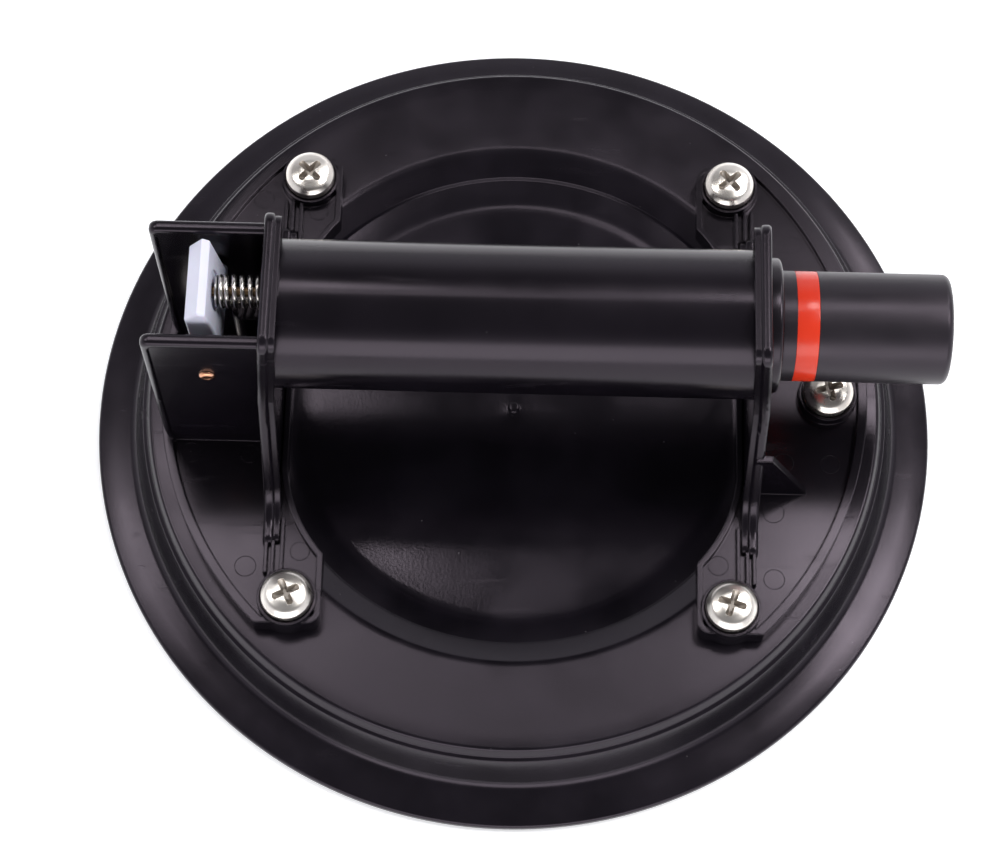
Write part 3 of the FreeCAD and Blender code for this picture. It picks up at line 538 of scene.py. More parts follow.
# ----------------------------------------------------------------------------- mesh making
class Shaping:
    """Mesh makers shared by the sub-assemblies."""

    same_spot: float = 1e-7
    solid_seam: float = 1e-6

    @staticmethod
    def rounded(corners: Sequence[Corner], steps: int = 6) -> list[Point]:
        """Round the corners of an open profile with tangent arcs.

        Args:
            corners: (radius, place, rounding) for each corner.
            steps: the steps on each arc.

        Returns:
            The profile's points.
        """
        points: list[Point] = []
        for index, (a, b, rounding) in enumerate(corners):
            here = Vector((a, b))
            if rounding <= 0.0 or index in (0, len(corners) - 1):
                points.append((a, b))
                continue
            before = (Vector(corners[index - 1][:2]) - here).normalized()
            after = (Vector(corners[index + 1][:2]) - here).normalized()
            half = before.angle(after) / 2.0
            reach = rounding / math.tan(half)
            centre = here + (before + after).normalized() * (rounding / math.sin(half))
            start = here + before * reach - centre
            end = here + after * reach - centre
            sweep = start.angle_signed(end)
            for step in range(steps + 1):
                turn = -sweep * step / steps
                points.append((centre.x + start.x * math.cos(turn) - start.y * math.sin(turn),
                               centre.y + start.x * math.sin(turn) + start.y * math.cos(turn)))
        return points

    @staticmethod
    def spread(profile: Sequence[Point], spacing: float) -> list[Point]:
        """Add points along long straight stretches.

        Args:
            profile: the profile's points.
            spacing: the longest step left.

        Returns:
            The finer profile.
        """
        fine = [profile[0]]
        for (a0, b0), (a1, b1) in zip(profile, profile[1:]):
            count = max(1, math.ceil(math.hypot(a1 - a0, b1 - b0) / spacing))
            for step in range(1, count + 1):
                fine.append((a0 + (a1 - a0) * step / count, b0 + (b1 - b0) * step / count))
        return fine

    @staticmethod
    def turned(name: str, profile: Sequence[Point], axis: Axis, centre: Vector,
               segments: int = 128) -> bpy.types.Object:
        """Turn a profile of (radius, place) points about an axis.

        Args:
            name: the piece's name.
            profile: (radius, place along the axis) points from one end to the other.
            axis: the axis to turn about.
            centre: a point on the axis from which places are measured.
            segments: the steps round the axis.

        Returns:
            A closed, smoothly shaded piece.
        """
        mesh = bmesh.new()
        rings = []
        for radius, place in profile:
            ring = []
            for step in range(segments):
                turn = FULL_TURN * step / segments
                u, v = radius * math.cos(turn), radius * math.sin(turn)
                spot = (place, u, v) if axis is Axis.X else (u, v, place)
                ring.append(mesh.verts.new(Vector(spot) + centre))
            rings.append(ring)
        for low, high in zip(rings, rings[1:]):
            for step in range(segments):
                after = (step + 1) % segments
                mesh.faces.new((low[step], low[after], high[after], high[step]))
        if profile[0] != profile[-1]:
            for ring, (radius, _) in ((rings[0], profile[0]), (rings[-1], profile[-1])):
                if radius > Shaping.same_spot:
                    mesh.faces.new(ring)
        bmesh.ops.remove_doubles(mesh, verts=mesh.verts, dist=Shaping.same_spot)
        bmesh.ops.recalc_face_normals(mesh, faces=mesh.faces)
        return Shaping.piece(name, mesh)

    @staticmethod
    def piece(name: str, mesh: bmesh.types.BMesh, sharp: float = CREASE_ANGLE) -> bpy.types.Object:
        """Put a bmesh in the scene as a smoothly shaded object.

        Args:
            name: the piece's name.
            mesh: its geometry, which is freed.
            sharp: the angle past which an edge stays sharp.

        Returns:
            The new object.
        """
        data = bpy.data.meshes.new(name)
        mesh.to_mesh(data)
        mesh.free()
        obj = bpy.data.objects.new(name, data)
        Shaping.shade(obj, sharp)
        bpy.context.scene.collection.objects.link(obj)
        return obj

    @staticmethod
    def shade(obj: bpy.types.Object, sharp: float) -> None:
        """Shade a piece smoothly, except where its faces meet at more than the sharp angle."""
        obj.data.shade_smooth()
        obj.data.set_sharp_from_angle(angle=sharp)

    @staticmethod
    def settle(obj: bpy.types.Object) -> bpy.types.Object:
        """Turn an object's live modifiers into plain mesh.

        Args:
            obj: the object to finish.

        Returns:
            The same object, with the evaluated mesh and no modifier.
        """
        graph = bpy.context.evaluated_depsgraph_get()
        graph.update()
        done = bpy.data.meshes.new_from_object(obj.evaluated_get(graph))
        obj.modifiers.clear()
        obj.data = done
        return obj

    @staticmethod
    def cut(obj: bpy.types.Object, tool: bpy.types.Object, sharp: float,
            crossed: bool = False) -> None:
        """Cut a tool's shape out of a piece and throw the tool away.

        Args:
            obj: the piece.
            tool: the closed shape to take out of it.
            sharp: the angle past which an edge stays sharp afterwards.
            crossed: whether parts of the tool overlap one another.
        """
        knife = obj.modifiers.new("cut", "BOOLEAN")
        knife.operation = "DIFFERENCE"
        knife.object = tool
        knife.solver = "EXACT"
        knife.use_self = crossed
        Shaping.settle(obj)
        Shaping.shade(obj, sharp)
        bpy.data.objects.remove(tool)

    @staticmethod
    def grown(name: str, tree: Tree, values: Mapping[str, object],
              points: Sequence[Spot] = ()) -> bpy.types.Object:
        """Run a Geometry Nodes tree and keep what it makes as plain mesh.

        Args:
            name: the piece's name.
            tree: the node tree.
            values: the tree's inputs, by name.
            points: the points that the tree starts from, if it needs any.

        Returns:
            The piece, with no modifier.
        """
        data = bpy.data.meshes.new(name)
        data.from_pydata(list(points), [], [])
        obj = bpy.data.objects.new(name, data)
        bpy.context.scene.collection.objects.link(obj)
        growth = obj.modifiers.new("growth", "NODES")
        growth.node_group = tree
        for item in tree.interface.items_tree:
            if item.in_out == "INPUT" and item.name in values:
                growth[item.identifier] = values[item.name]
        return Shaping.settle(obj)

    @staticmethod
    def clean_copy(name: str, node: str, sharp: float) -> bpy.types.Object:
        """Copy a solid of the frame, merge its loose triangles and shade it smoothly.

        The copy starts from bare points and faces, so it takes over none of the solid's own normals.

        Args:
            name: the new piece's name.
            node: the solid's name in the frame.
            sharp: the angle past which an edge stays sharp.

        Returns:
            The new object, with normals weighted by the size of its faces.
        """
        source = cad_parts[node].data
        bare = bpy.data.meshes.new(name + " bare")
        bare.from_pydata([vertex.co for vertex in source.vertices], [],
                         [face.vertices[:] for face in source.polygons])
        mesh = bmesh.new()
        mesh.from_mesh(bare)
        bpy.data.meshes.remove(bare)
        bmesh.ops.remove_doubles(mesh, verts=mesh.verts, dist=Shaping.solid_seam)
        obj = Shaping.piece(name, mesh, sharp)
        obj.modifiers.new("weighted normals", "WEIGHTED_NORMAL").keep_sharp = True
        return Shaping.settle(obj)

    @staticmethod
    def mark(obj: bpy.types.Object, attribute: str, values: Sequence[float]) -> None:
        """Store a mask on a piece's points for its material.

        Args:
            obj: the piece.
            attribute: the mask's name.
            values: the mask at each point, clamped here to 0 to 1.
        """
        data = obj.data.attributes.new(attribute, "FLOAT", "POINT").data
        for item, value in zip(data, values):
            item.value = min(1.0, max(0.0, value))


@dataclass
class Bench:
    """Hands every finished piece its material, its body and its line in the log."""

    shop: FinishShop = field(default_factory=FinishShop)

    def fit(self, obj: bpy.types.Object, finish: Finish, body: Body, *nodes: str) -> None:
        """Dress a piece, set it on its body and let it stand for solids.

        Args:
            obj: the finished piece.
            finish: its finish.
            body: the body that it rides on.
            nodes: the solids that it stands for.
        """
        obj.data.materials.clear()
        obj.data.materials.append(self.shop.material(finish))
        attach(obj, body.value)
        if nodes:
            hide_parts(*nodes)
        log.info("%s: %d faces, %s, on %s", obj.name, len(obj.data.polygons), finish.name, body.value)

    def dress(self, node: str, finish: Finish) -> None:
        """Give a solid that stays its material.

        Args:
            node: the solid's name.
            finish: its finish.
        """
        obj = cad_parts[node]
        material = self.shop.material(finish)
        if obj.material_slots:
            for slot in obj.material_slots:
                slot.material = material
        else:
            obj.data.materials.append(material)
        log.info("%s: solid kept, %s", node, finish.name)


# ----------------------------------------------------------------------------- sub-assemblies
@dataclass
class SuctionPad:
    """The moulded pad: dish, plateau, stepped wall and flexible lip, with the port in its underside.

    A pair is a (radius, height) place.  Only wall_ledge and dish_drop are distances: how far the wall's ledge
    runs in and rises from its step, and how far the dish's step runs in and drops.
    """

    bench: Bench
    lip_edge: float = 0.0025
    lip_bend: float = 0.001
    crease: Point = (0.0920, 0.0050)
    crease_bend: float = 0.003
    wall_step: Point = (0.0893, 0.0152)
    wall_ledge: Point = (0.0009, 0.0004)
    plateau_radius: float = 0.0874
    plateau: float = 0.0182
    plateau_bend: float = 0.001
    dish_rim: float = 0.0665
    dish_rim_bend: float = 0.004
    dish_step: Point = (0.0608, 0.0142)
    dish_drop: Point = (0.0005, 0.0009)
    dish_floor: Point = (0.0540, 0.0114)
    dish_bend: float = 0.014
    dish_sag: float = 0.0004
    nub_radius: float = 0.0011
    nub_foot: float = 0.0014
    nub_rise: float = 0.0005
    crisp: float = 0.0003
    seal_width: float = 0.0036
    seal_bend: float = 0.0005
    cavity: float = 0.0070
    cavity_radius: float = 0.0840
    cavity_bend: float = 0.010
    cavity_margin: float = 0.001
    port: float = -0.0605
    seat_radius: float = 0.00505
    port_radius: float = 0.0015
    cut_below: float = -0.001
    cut_above: float = 0.03
    spacing: float = 0.004
    segments: int = 288
    port_segments: int = 64

    def profile(self) -> list[Point]:
        """The pad's section from the middle of the dish round to the middle of the cavity.

        Returns:
            The (radius, height) points.
        """
        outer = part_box("suction_pad")[1][0]
        low_floor = self.dish_floor[1] - self.dish_sag
        nub_top = low_floor + self.nub_rise
        corners = [
            (0.0, nub_top, 0.0),
            (self.nub_radius, nub_top, self.crisp),
            (self.nub_foot, low_floor, self.crisp),
            (*self.dish_floor, self.dish_bend),
            (self.dish_step[0] - self.dish_drop[0], self.dish_step[1] - self.dish_drop[1], self.crisp),
            (*self.dish_step, self.crisp),
            (self.dish_rim, self.plateau, self.dish_rim_bend),
            (self.plateau_radius, self.plateau, self.plateau_bend),
            (self.wall_step[0] - self.wall_ledge[0], self.wall_step[1] + self.wall_ledge[1], self.crisp),
            (*self.wall_step, self.crisp),
            (*self.crease, self.crease_bend),
            (outer, self.lip_edge, self.lip_bend),
            (outer, 0.0, self.lip_bend),
            (outer - self.seal_width, 0.0, self.seal_bend),
            (self.cavity_radius, self.cavity, self.cavity_bend),
            (0.0, self.cavity, 0.0),
        ]
        return Shaping.spread(Shaping.rounded(corners), self.spacing)

    def build(self) -> None:
        """Turn the pad, open its port and filter seat, and dress what is inside it."""
        pad = Shaping.turned("pad_moulding", self.profile(), Axis.Z, ORIGIN, self.segments)
        felt_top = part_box("filter_disc")[1][2]
        opening = [(0.0, self.cut_below), (self.seat_radius, self.cut_below), (self.seat_radius, felt_top),
                   (self.port_radius, felt_top), (self.port_radius, self.cut_above), (0.0, self.cut_above)]
        tool = Shaping.turned("port_cutter", opening, Axis.Z, Vector((self.port, 0, 0)), self.port_segments)
        Shaping.cut(pad, tool, CREASE_ANGLE)
        Shaping.mark(pad, "polish", [self._polish(vertex.co) for vertex in pad.data.vertices])
        self.bench.fit(pad, PAD_RUBBER, Body.LIFTER, "suction_pad")
        self.bench.dress("backing_ring", ZINC_STEEL)
        self.bench.dress("threaded_inserts", INSERT_BRASS)
        self.bench.dress("filter_disc", FELT_CREAM)
        self.bench.dress("port_gasket", SEAL_RUBBER)

    def _polish(self, place: Vector) -> float:
        """How much of the mould's polish a point has: all of it on the dish's floor.

        Args:
            place: the point.

        Returns:
            The share, which may run past 0 and 1.
        """
        if place.z <= self.cavity + self.cavity_margin:
            return 0.0
        return (self.dish_step[0] - math.hypot(place.x, place.y)) / (self.dish_step[0] - self.dish_floor[0])


@dataclass
class GripFrame:
    """The one-piece black moulding: flange plates, uprights, grip tube, guard walls and fins."""

    bench: Bench
    sharp: float = math.radians(24.0)
    plate_top: float = 0.0222
    mark_radius: float = 0.0025
    mark_line: float = 0.00009
    mark_spread: float = 0.12
    mark_steps: int = 48
    line_sides: int = 8
    seed: int = 4
    left_marks: tuple[Point, ...] = (
        (-0.0760, -0.0180), (-0.0620, -0.0180), (-0.0615, -0.0460), (-0.0490, -0.0420), (-0.0625, 0.0490),
        (-0.0490, 0.0460))
    right_marks: tuple[Point, ...] = (
        (0.0750, -0.0170), (0.0640, -0.0170), (0.0615, -0.0295), (0.0615, -0.0460), (0.0485, -0.0430),
        (0.0640, 0.0480), (0.0485, 0.0455), (0.0670, 0.0400))

    def build(self) -> None:
        """Shade the moulding smoothly and lay the ejector pins' faint rings on its flange plates."""
        moulding = Shaping.clean_copy("grip_moulding", "handle_frame", self.sharp)
        self.bench.fit(moulding, FRAME_BLACK, Body.LIFTER, "handle_frame")
        places = [(x, y, self.plate_top) for x, y in self.left_marks + self.right_marks]
        values = {"Ring Radius": self.mark_radius, "Line Radius": self.mark_line, "Spread": self.mark_spread,
                  "Seed": self.seed, "Finish": self.bench.shop.material(FRAME_BLACK)}
        marks = Shaping.grown("ejector_marks", self.tree(), values, places)
        self.bench.fit(marks, FRAME_BLACK, Body.LIFTER)

    def tree(self) -> Tree:
        """The node tree that lays a thin raised ring at each point.

        Returns:
            The tree.
        """
        tree = GrowthTree.begin("ejector rings", {
            "Places": "Geometry", "Ring Radius": "Float", "Line Radius": "Float", "Spread": "Float",
            "Seed": "Int"})
        ring = tree.node("GeometryNodeCurvePrimitiveCircle",
                         {"Resolution": self.mark_steps, "Radius": tree.ins["Ring Radius"]})
        line = tree.tube(ring.outputs["Curve"], tree.ins["Line Radius"], self.line_sides, False)
        size = tree.chance(tree.math("SUBTRACT", 1.0, tree.ins["Spread"]), 1.0)
        copies = tree.node("GeometryNodeInstanceOnPoints",
                           {"Points": tree.ins["Places"], "Instance": line, "Scale": size})
        return tree.close(copies.outputs[0])


@dataclass
class ScrewSet:
    """Six pan-head screws set by a node tree on one circle.

    A shoulder is (share of the head's radius, share of its height, rounding).  A recess level is (depth below
    the head's top, share of the recess's length, share of its width), and recess_floor has the two shares at
    the bottom.  recess_corner says, in shares of half the width, how long each cut corner of a wing is and
    where it ends across the tip.
    """

    bench: Bench
    circle: float = 0.0745
    corner_angle: float = math.radians(46.5)
    head_radius: float = 0.0060
    head_height: float = 0.0040
    head_side: float = 0.0019
    edge_break: float = 0.0003
    shank_radius: float = 0.0030
    shank_tip: float = 0.0006
    shoulders: tuple[Corner, ...] = ((0.80, 0.80, 0.0022), (0.42, 0.985, 0.0040))
    side_share: float = 0.985
    side_bend: float = 0.0007
    recess_length: float = 0.0034
    recess_width: float = 0.00080
    recess_depth: float = 0.0024
    recess_overlap: float = 0.0003
    recess_levels: tuple[Spot, ...] = ((-0.001, 1.10, 1.12), (0.0002, 1.0, 1.0), (0.0011, 0.86, 0.78))
    recess_floor: Point = (0.40, 0.46)
    recess_corner: Point = (0.5, 0.45)
    soil_margin: float = 1.08
    soil_top: float = 0.0006
    soil_gain: float = 1.6
    segments: int = 72
    arc_steps: int = 6
    sharp: float = math.radians(35.0)
    seed: int = 11

    def screw(self, tip: float) -> bpy.types.Object:
        """One screw with a tapered cross recess, standing at the origin.

        Args:
            tip: how far the shank reaches below the head.

        Returns:
            The screw, with its recess marked for soil.
        """
        reach, height, shank = self.head_radius, self.head_height, self.shank_radius
        corners = [(0.0, -tip, 0.0), (shank - self.shank_tip, -tip, 0.0), (shank, -tip + self.shank_tip, 0.0),
                   (shank, 0.0, 0.0), (reach - self.edge_break, 0.0, 0.0), (reach, self.edge_break, 0.0),
                   (reach * self.side_share, self.head_side, self.side_bend),
                   *((reach * out, height * up, bend) for out, up, bend in self.shoulders),
                   (0.0, height, 0.0)]
        profile = Shaping.rounded(corners, self.arc_steps)
        head = Shaping.turned("screw_blank", profile, Axis.Z, ORIGIN, self.segments)
        cross = bmesh.new()
        for quarter in range(4):
            self._wing(cross, quarter * QUARTER_TURN)
        bmesh.ops.recalc_face_normals(cross, faces=cross.faces)
        Shaping.cut(head, Shaping.piece("cross_cutter", cross), self.sharp, crossed=True)
        Shaping.mark(head, "soil", [self._soil(vertex.co) for vertex in head.data.vertices])
        return head

    def _soil(self, place: Vector) -> float:
        """How dirty a point of the screw is: the deeper in the recess, the more.

        Args:
            place: the point.

        Returns:
            The share, which may run past 0 and 1.
        """
        if place.z <= 0.0 or math.hypot(place.x, place.y) >= self.recess_length * self.soil_margin:
            return 0.0
        depth = self.head_height - self.soil_top - place.z
        return self.soil_gain * (depth / self.recess_depth)

    def _wing(self, mesh: bmesh.types.BMesh, turn: float) -> None:
        """Add one tapered wing of the cross cutter.

        Args:
            mesh: the cutter.
            turn: the wing's direction.
        """
        root = -self.recess_overlap
        levels = (*self.recess_levels, (self.recess_depth, *self.recess_floor))
        rings = []
        for depth, length_share, width_share in levels:
            half = self.recess_width * width_share
            long = self.recess_length * length_share
            corner, flat = long - half * self.recess_corner[0], half * self.recess_corner[1]
            outline = ((root, -half), (corner, -half), (long, -flat),
                       (long, flat), (corner, half), (root, half))
            rings.append([
                mesh.verts.new((u * math.cos(turn) - v * math.sin(turn),
                                u * math.sin(turn) + v * math.cos(turn), self.head_height - depth))
                for u, v in outline])
        mesh.faces.new(rings[0])
        mesh.faces.new(list(reversed(rings[-1])))
        for upper, lower in zip(rings, rings[1:]):
            for step in range(len(upper)):
                after = (step + 1) % len(upper)
                mesh.faces.new((upper[step], lower[step], lower[after], upper[after]))

    def tree(self) -> Tree:
        """The node tree that sets a screw at each of the six places, turned at random.

        Returns:
            The tree.
        """
        tree = GrowthTree.begin("screw circle", {
            "Screw": "Object", "Circle Radius": "Float", "Corner Angle": "Float", "Seat Height": "Float",
            "Seed": "Int"})
        corner = tree.ins["Corner Angle"]
        corners = [tree.math("MULTIPLY_ADD", corner, sign, start)
                   for sign, start in ((1, 0.0), (-1, math.pi), (1, math.pi), (-1, FULL_TURN))]
        choice = tree.node("GeometryNodeIndexSwitch", data_type="FLOAT")
        angles = (*corners, 0.0, math.pi)
        while len(choice.index_switch_items) < len(angles):
            choice.index_switch_items.new()
        for slot, value in enumerate((tree.node("GeometryNodeInputIndex").outputs[0], *angles)):
            tree.feed(choice.inputs[slot], value)
        across, along = (tree.math("MULTIPLY", tree.math(wave, choice.outputs[0]), tree.ins["Circle Radius"])
                         for wave in ("COSINE", "SINE"))
        place = tree.node("ShaderNodeCombineXYZ", {"X": across, "Y": along, "Z": tree.ins["Seat Height"]})
        points = tree.node("GeometryNodePoints", {"Count": len(angles), "Position": place.outputs[0]})
        source = tree.node("GeometryNodeObjectInfo", {"Object": tree.ins["Screw"]},
                           transform_space="ORIGINAL")
        spin = tree.node("ShaderNodeCombineXYZ", {"Z": tree.chance(0.0, FULL_TURN)})
        copies = tree.node("GeometryNodeInstanceOnPoints", {
            "Points": points.outputs[0], "Instance": source.outputs["Geometry"], "Rotation": spin.outputs[0]})
        return tree.close(copies.outputs[0])

    def build(self) -> None:
        """Make the screw, set the six copies and fit them in place of the plain ones."""
        low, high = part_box("flange_screws")
        seat = high[2] - self.head_height
        blank = self.screw(seat - low[2])
        values = {"Screw": blank, "Circle Radius": self.circle, "Corner Angle": self.corner_angle,
                  "Seat Height": seat, "Seed": self.seed, "Finish": self.bench.shop.material(SCREW_NICKEL)}
        screws = Shaping.grown("flange_screw_set", self.tree(), values)
        bpy.data.objects.remove(blank)
        self.bench.fit(screws, SCREW_NICKEL, Body.LIFTER, "flange_screws")


@dataclass
class CoilSpring:
    """A compression spring along X with closed end turns, wound by a node tree.

    joint, fixed_high and travel are not used.
    closed_start and closed_end are the closed turns at its ends, and closed_pitch is their pitch as a share
    of the wire's radius.
    """

    bench: Bench
    name: str
    node: str
    joint: str
    wire: float
    turns: float
    closed_start: float
    closed_end: float
    fixed_high: bool
    travel: float
    steps: int = 36
    sides: int = 12
    closed_pitch: float = 2.06

    def tree(self) -> Tree:
        """The node tree that winds the wire.

        Returns:
            The tree.
        """
        sizes = ("Start", "Length", "Radius", "Wire Radius", "Turns", "Closed Start", "Closed End",
                 "Axis Height")
        inputs = {**dict.fromkeys(sizes, "Float"), "Resolution": "Int"}
        tree = GrowthTree.begin(self.name + " winding", inputs)
        start, length, radius, half_wire, turns, closed_start, closed_end, height = (
            tree.ins[title] for title in sizes)
        math_node = tree.math
        line = tree.node("GeometryNodeCurvePrimitiveLine").outputs[0]
        fine = tree.node("GeometryNodeResampleCurve",
                         {"Curve": line, "Count": math_node("MULTIPLY", turns, tree.ins["Resolution"])})
        along = tree.node("GeometryNodeSplineParameter").outputs["Factor"]
        count = math_node("MULTIPLY", along, turns)
        angle = math_node("MULTIPLY", count, FULL_TURN)
        first = math_node("MINIMUM", count, closed_start)
        past = math_node("SUBTRACT", count, math_node("SUBTRACT", turns, closed_end))
        last = math_node("MAXIMUM", past, 0.0)
        opened = math_node("SUBTRACT", math_node("SUBTRACT", count, first), last)
        closed = math_node("ADD", closed_start, closed_end)
        step = math_node("MULTIPLY", half_wire, self.closed_pitch)
        room = math_node("SUBTRACT", math_node("SUBTRACT", length, math_node("MULTIPLY", half_wire, 2.0)),
                         math_node("MULTIPLY", closed, step))
        pitch = math_node("DIVIDE", room, math_node("SUBTRACT", turns, closed))
        shut = math_node("MULTIPLY", math_node("ADD", first, last), step)
        reach = math_node("ADD", math_node("MULTIPLY", opened, pitch), shut)
        spot = tree.node("ShaderNodeCombineXYZ", {
            "X": math_node("ADD", math_node("ADD", start, half_wire), reach),
            "Y": math_node("MULTIPLY", math_node("COSINE", angle), radius),
            "Z": math_node("ADD", math_node("MULTIPLY", math_node("SINE", angle), radius), height)})
        wound = tree.node("GeometryNodeSetPosition",
                          {"Geometry": fine.outputs[0], "Position": spot.outputs[0]})
        return tree.close(tree.tube(wound.outputs[0], half_wire, self.sides, True))

    def build(self) -> None:
        """Wind the spring between the ends of its plain solid and set it on the lifter in the solid's place.
        """
        low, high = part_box(self.node)
        length = high[0] - low[0]
        middle = (high[2] + low[2]) / 2.0
        values = {"Start": low[0], "Length": length, "Radius": (high[2] - low[2]) / 2.0 - self.wire / 2.0,
                  "Wire Radius": self.wire / 2.0, "Turns": self.turns, "Closed Start": self.closed_start,
                  "Closed End": self.closed_end, "Axis Height": middle, "Resolution": self.steps,
                  "Finish": self.bench.shop.material(SPRING_STEEL)}
        coil = Shaping.grown(self.name, self.tree(), values)
        self.bench.fit(coil, SPRING_STEEL, Body.LIFTER, self.node)
        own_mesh(coil)


@dataclass
class Pump:
    """The hand pump: liner, guide bush, wiper and the plunger with its piston.

    collar_slope is how far the collar's slope runs inward and along the grip.  Of two bends, the first is the
    one farther from the axis.
    """

    bench: Bench
    axis_height: float = 0.0638
    plunger_wall: float = 0.0019
    plunger_round: float = 0.0016
    dimple_radius: float = 0.0042
    dimple_floor: float = 0.0036
    dimple_depth: float = 0.0003
    dimple_bends: Point = (0.0003, 0.0002)
    band_depth: float = 0.00035
    band_clearance: float = 0.00001
    band_crown: float = 0.00002
    band_edge: float = 0.00015
    bush_clearance: float = 0.00006
    bush_radius: float = 0.0140
    bush_lead_in: float = 0.0004
    collar_length: float = 0.0031
    collar_foot_bend: float = 0.0003
    collar_slope: Point = (0.0012, 0.0004)
    collar_bends: Point = (0.0009, 0.0006)
    spacing: float = 0.006
    segments: int = 128
    plunger_steps: int = 8
    band_steps: int = 4
    bush_steps: int = 5

    def build(self) -> None:
        """Turn what shows and dress the rest."""
        self._plunger()
        self._band()
        self._bush()
        self.bench.dress("cylinder_liner", LINER_ALUMINIUM)
        self.bench.dress("wiper_ring", SEAL_RUBBER)
        self.bench.dress("piston", BUSH_BLACK)
        self.bench.dress("piston_seal", SEAL_RUBBER)
        self.bench.dress("seal_retainer", ZINC_STEEL)
        self.bench.dress("piston_screw", ZINC_STEEL)

    def _turn(self, name: str, profile: Sequence[Point]) -> bpy.types.Object:
        """Turn a profile of (radius, place along the grip) points about the pump's axis."""
        return Shaping.turned(name, profile, Axis.X, Vector((0.0, 0.0, self.axis_height)), self.segments)

    def _plunger(self) -> None:
        """The hollow plunger with its closed, rounded thumb end."""
        low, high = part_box("plunger_tube")
        band_low, band_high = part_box("red_ring")
        radius = (high[2] - low[2]) / 2.0
        bore = radius - self.plunger_wall
        groove = radius - self.band_depth
        dimple = high[0] - self.dimple_depth
        corners = [(bore, low[0], 0.0), (radius, low[0], 0.0), (radius, band_low[0], 0.0),
                   (groove, band_low[0], 0.0), (groove, band_high[0], 0.0), (radius, band_high[0], 0.0),
                   (radius, high[0], self.plunger_round), (self.dimple_radius, high[0], self.dimple_bends[0]),
                   (self.dimple_floor, dimple, self.dimple_bends[1]), (0.0, dimple, 0.0)]
        outer = Shaping.spread(Shaping.rounded(corners, self.plunger_steps), self.spacing)
        end = high[0] - self.plunger_wall
        plunger = self._turn("plunger_barrel", outer + [(0.0, end), (bore, end), (bore, low[0])])
        self.bench.fit(plunger, PLUNGER_BLACK, Body.PLUNGER, "plunger_tube")

    def _band(self) -> None:
        """The red band in its groove, a little crowned."""
        low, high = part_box("red_ring")
        crown = (high[2] - low[2]) / 2.0
        inner = crown - self.band_depth + self.band_clearance
        edge = crown - self.band_crown
        middle = (low[0] + high[0]) / 2.0
        corners = [(inner, low[0], 0.0), (edge, low[0], self.band_edge), (crown, middle, 0.0),
                   (edge, high[0], self.band_edge), (inner, high[0], 0.0)]
        profile = Shaping.rounded(corners, self.band_steps)
        band = self._turn("vacuum_band", profile + [profile[0]])
        self.bench.fit(band, BAND_RED, Body.PLUNGER, "red_ring")

    def _bush(self) -> None:
        """The guide bush with a rounded collar."""
        low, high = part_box("guide_bush")
        collar = (high[2] - low[2]) / 2.0
        bore = (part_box("plunger_tube")[1][2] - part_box("plunger_tube")[0][2]) / 2.0 + self.bush_clearance
        seat = high[0] - self.collar_length
        corners = [(bore, low[0], 0.0), (self.bush_radius, low[0], 0.0), (self.bush_radius, seat, 0.0),
                   (collar, seat, self.collar_foot_bend),
                   (collar, high[0] - self.collar_slope[1], self.collar_bends[0]),
                   (collar - self.collar_slope[0], high[0], self.collar_bends[1]),
                   (bore + self.bush_lead_in, high[0], 0.0), (bore, high[0] - self.bush_lead_in, 0.0),
                   (bore, low[0], 0.0)]
        profile = Shaping.spread(Shaping.rounded(corners, self.bush_steps), self.spacing)
        bush = self._turn("bush_collar", profile)
        self.bench.fit(bush, BUSH_BLACK, Body.LIFTER, "guide_bush")


@dataclass
class ReleaseValve:
    """The white lever, its pin and the valve that it opens."""

    bench: Bench
    lever_sharp: float = math.radians(22.0)
    turned_sharp: float = math.radians(30.0)

    def build(self) -> None:
        """Shade the lever, its pin and the valve smoothly and dress them."""
        lever = Shaping.clean_copy("thumb_lever", "release_lever", self.lever_sharp)
        self.bench.fit(lever, TAB_WHITE, Body.LEVER, "release_lever")
        pin = Shaping.clean_copy("pivot_pin", "lever_pin", self.turned_sharp)
        self.bench.fit(pin, PIN_COPPER, Body.LIFTER, "lever_pin")
        # The stem wears the darker copy of the brass, which is painted shade.
        stem = Shaping.clean_copy("stem_and_poppet", "valve_stem", self.turned_sharp)
        self.bench.fit(stem, SHADED_STEM_BRASS, Body.VALVE, "valve_stem")
        self.bench.dress("valve_disc", SEAL_RUBBER)
        self.bench.dress("stem_clip", ZINC_STEEL)


# ----------------------------------------------------------------------------- studio
@dataclass(frozen=True)
class Softbox:
    """One rectangular lamp: where it stands, its width and height, and its power in watts."""

    name: str
    place: Spot
    size: Point
    power: float

    def light(self, target: Spot) -> None:
        """Put the lamp in the scene.

        Args:
            target: the point that it faces.
        """
        light = bpy.data.lights.new(self.name, "AREA")
        light.shape = "RECTANGLE"
        light.size, light.size_y = self.size
        light.energy = self.power
        lamp = bpy.data.objects.new(self.name, light)
        lamp.location = self.place
        lamp.rotation_euler = (Vector(target) - Vector(self.place)).to_track_quat("-Z", "Y").to_euler()
        bpy.context.scene.collection.objects.link(lamp)


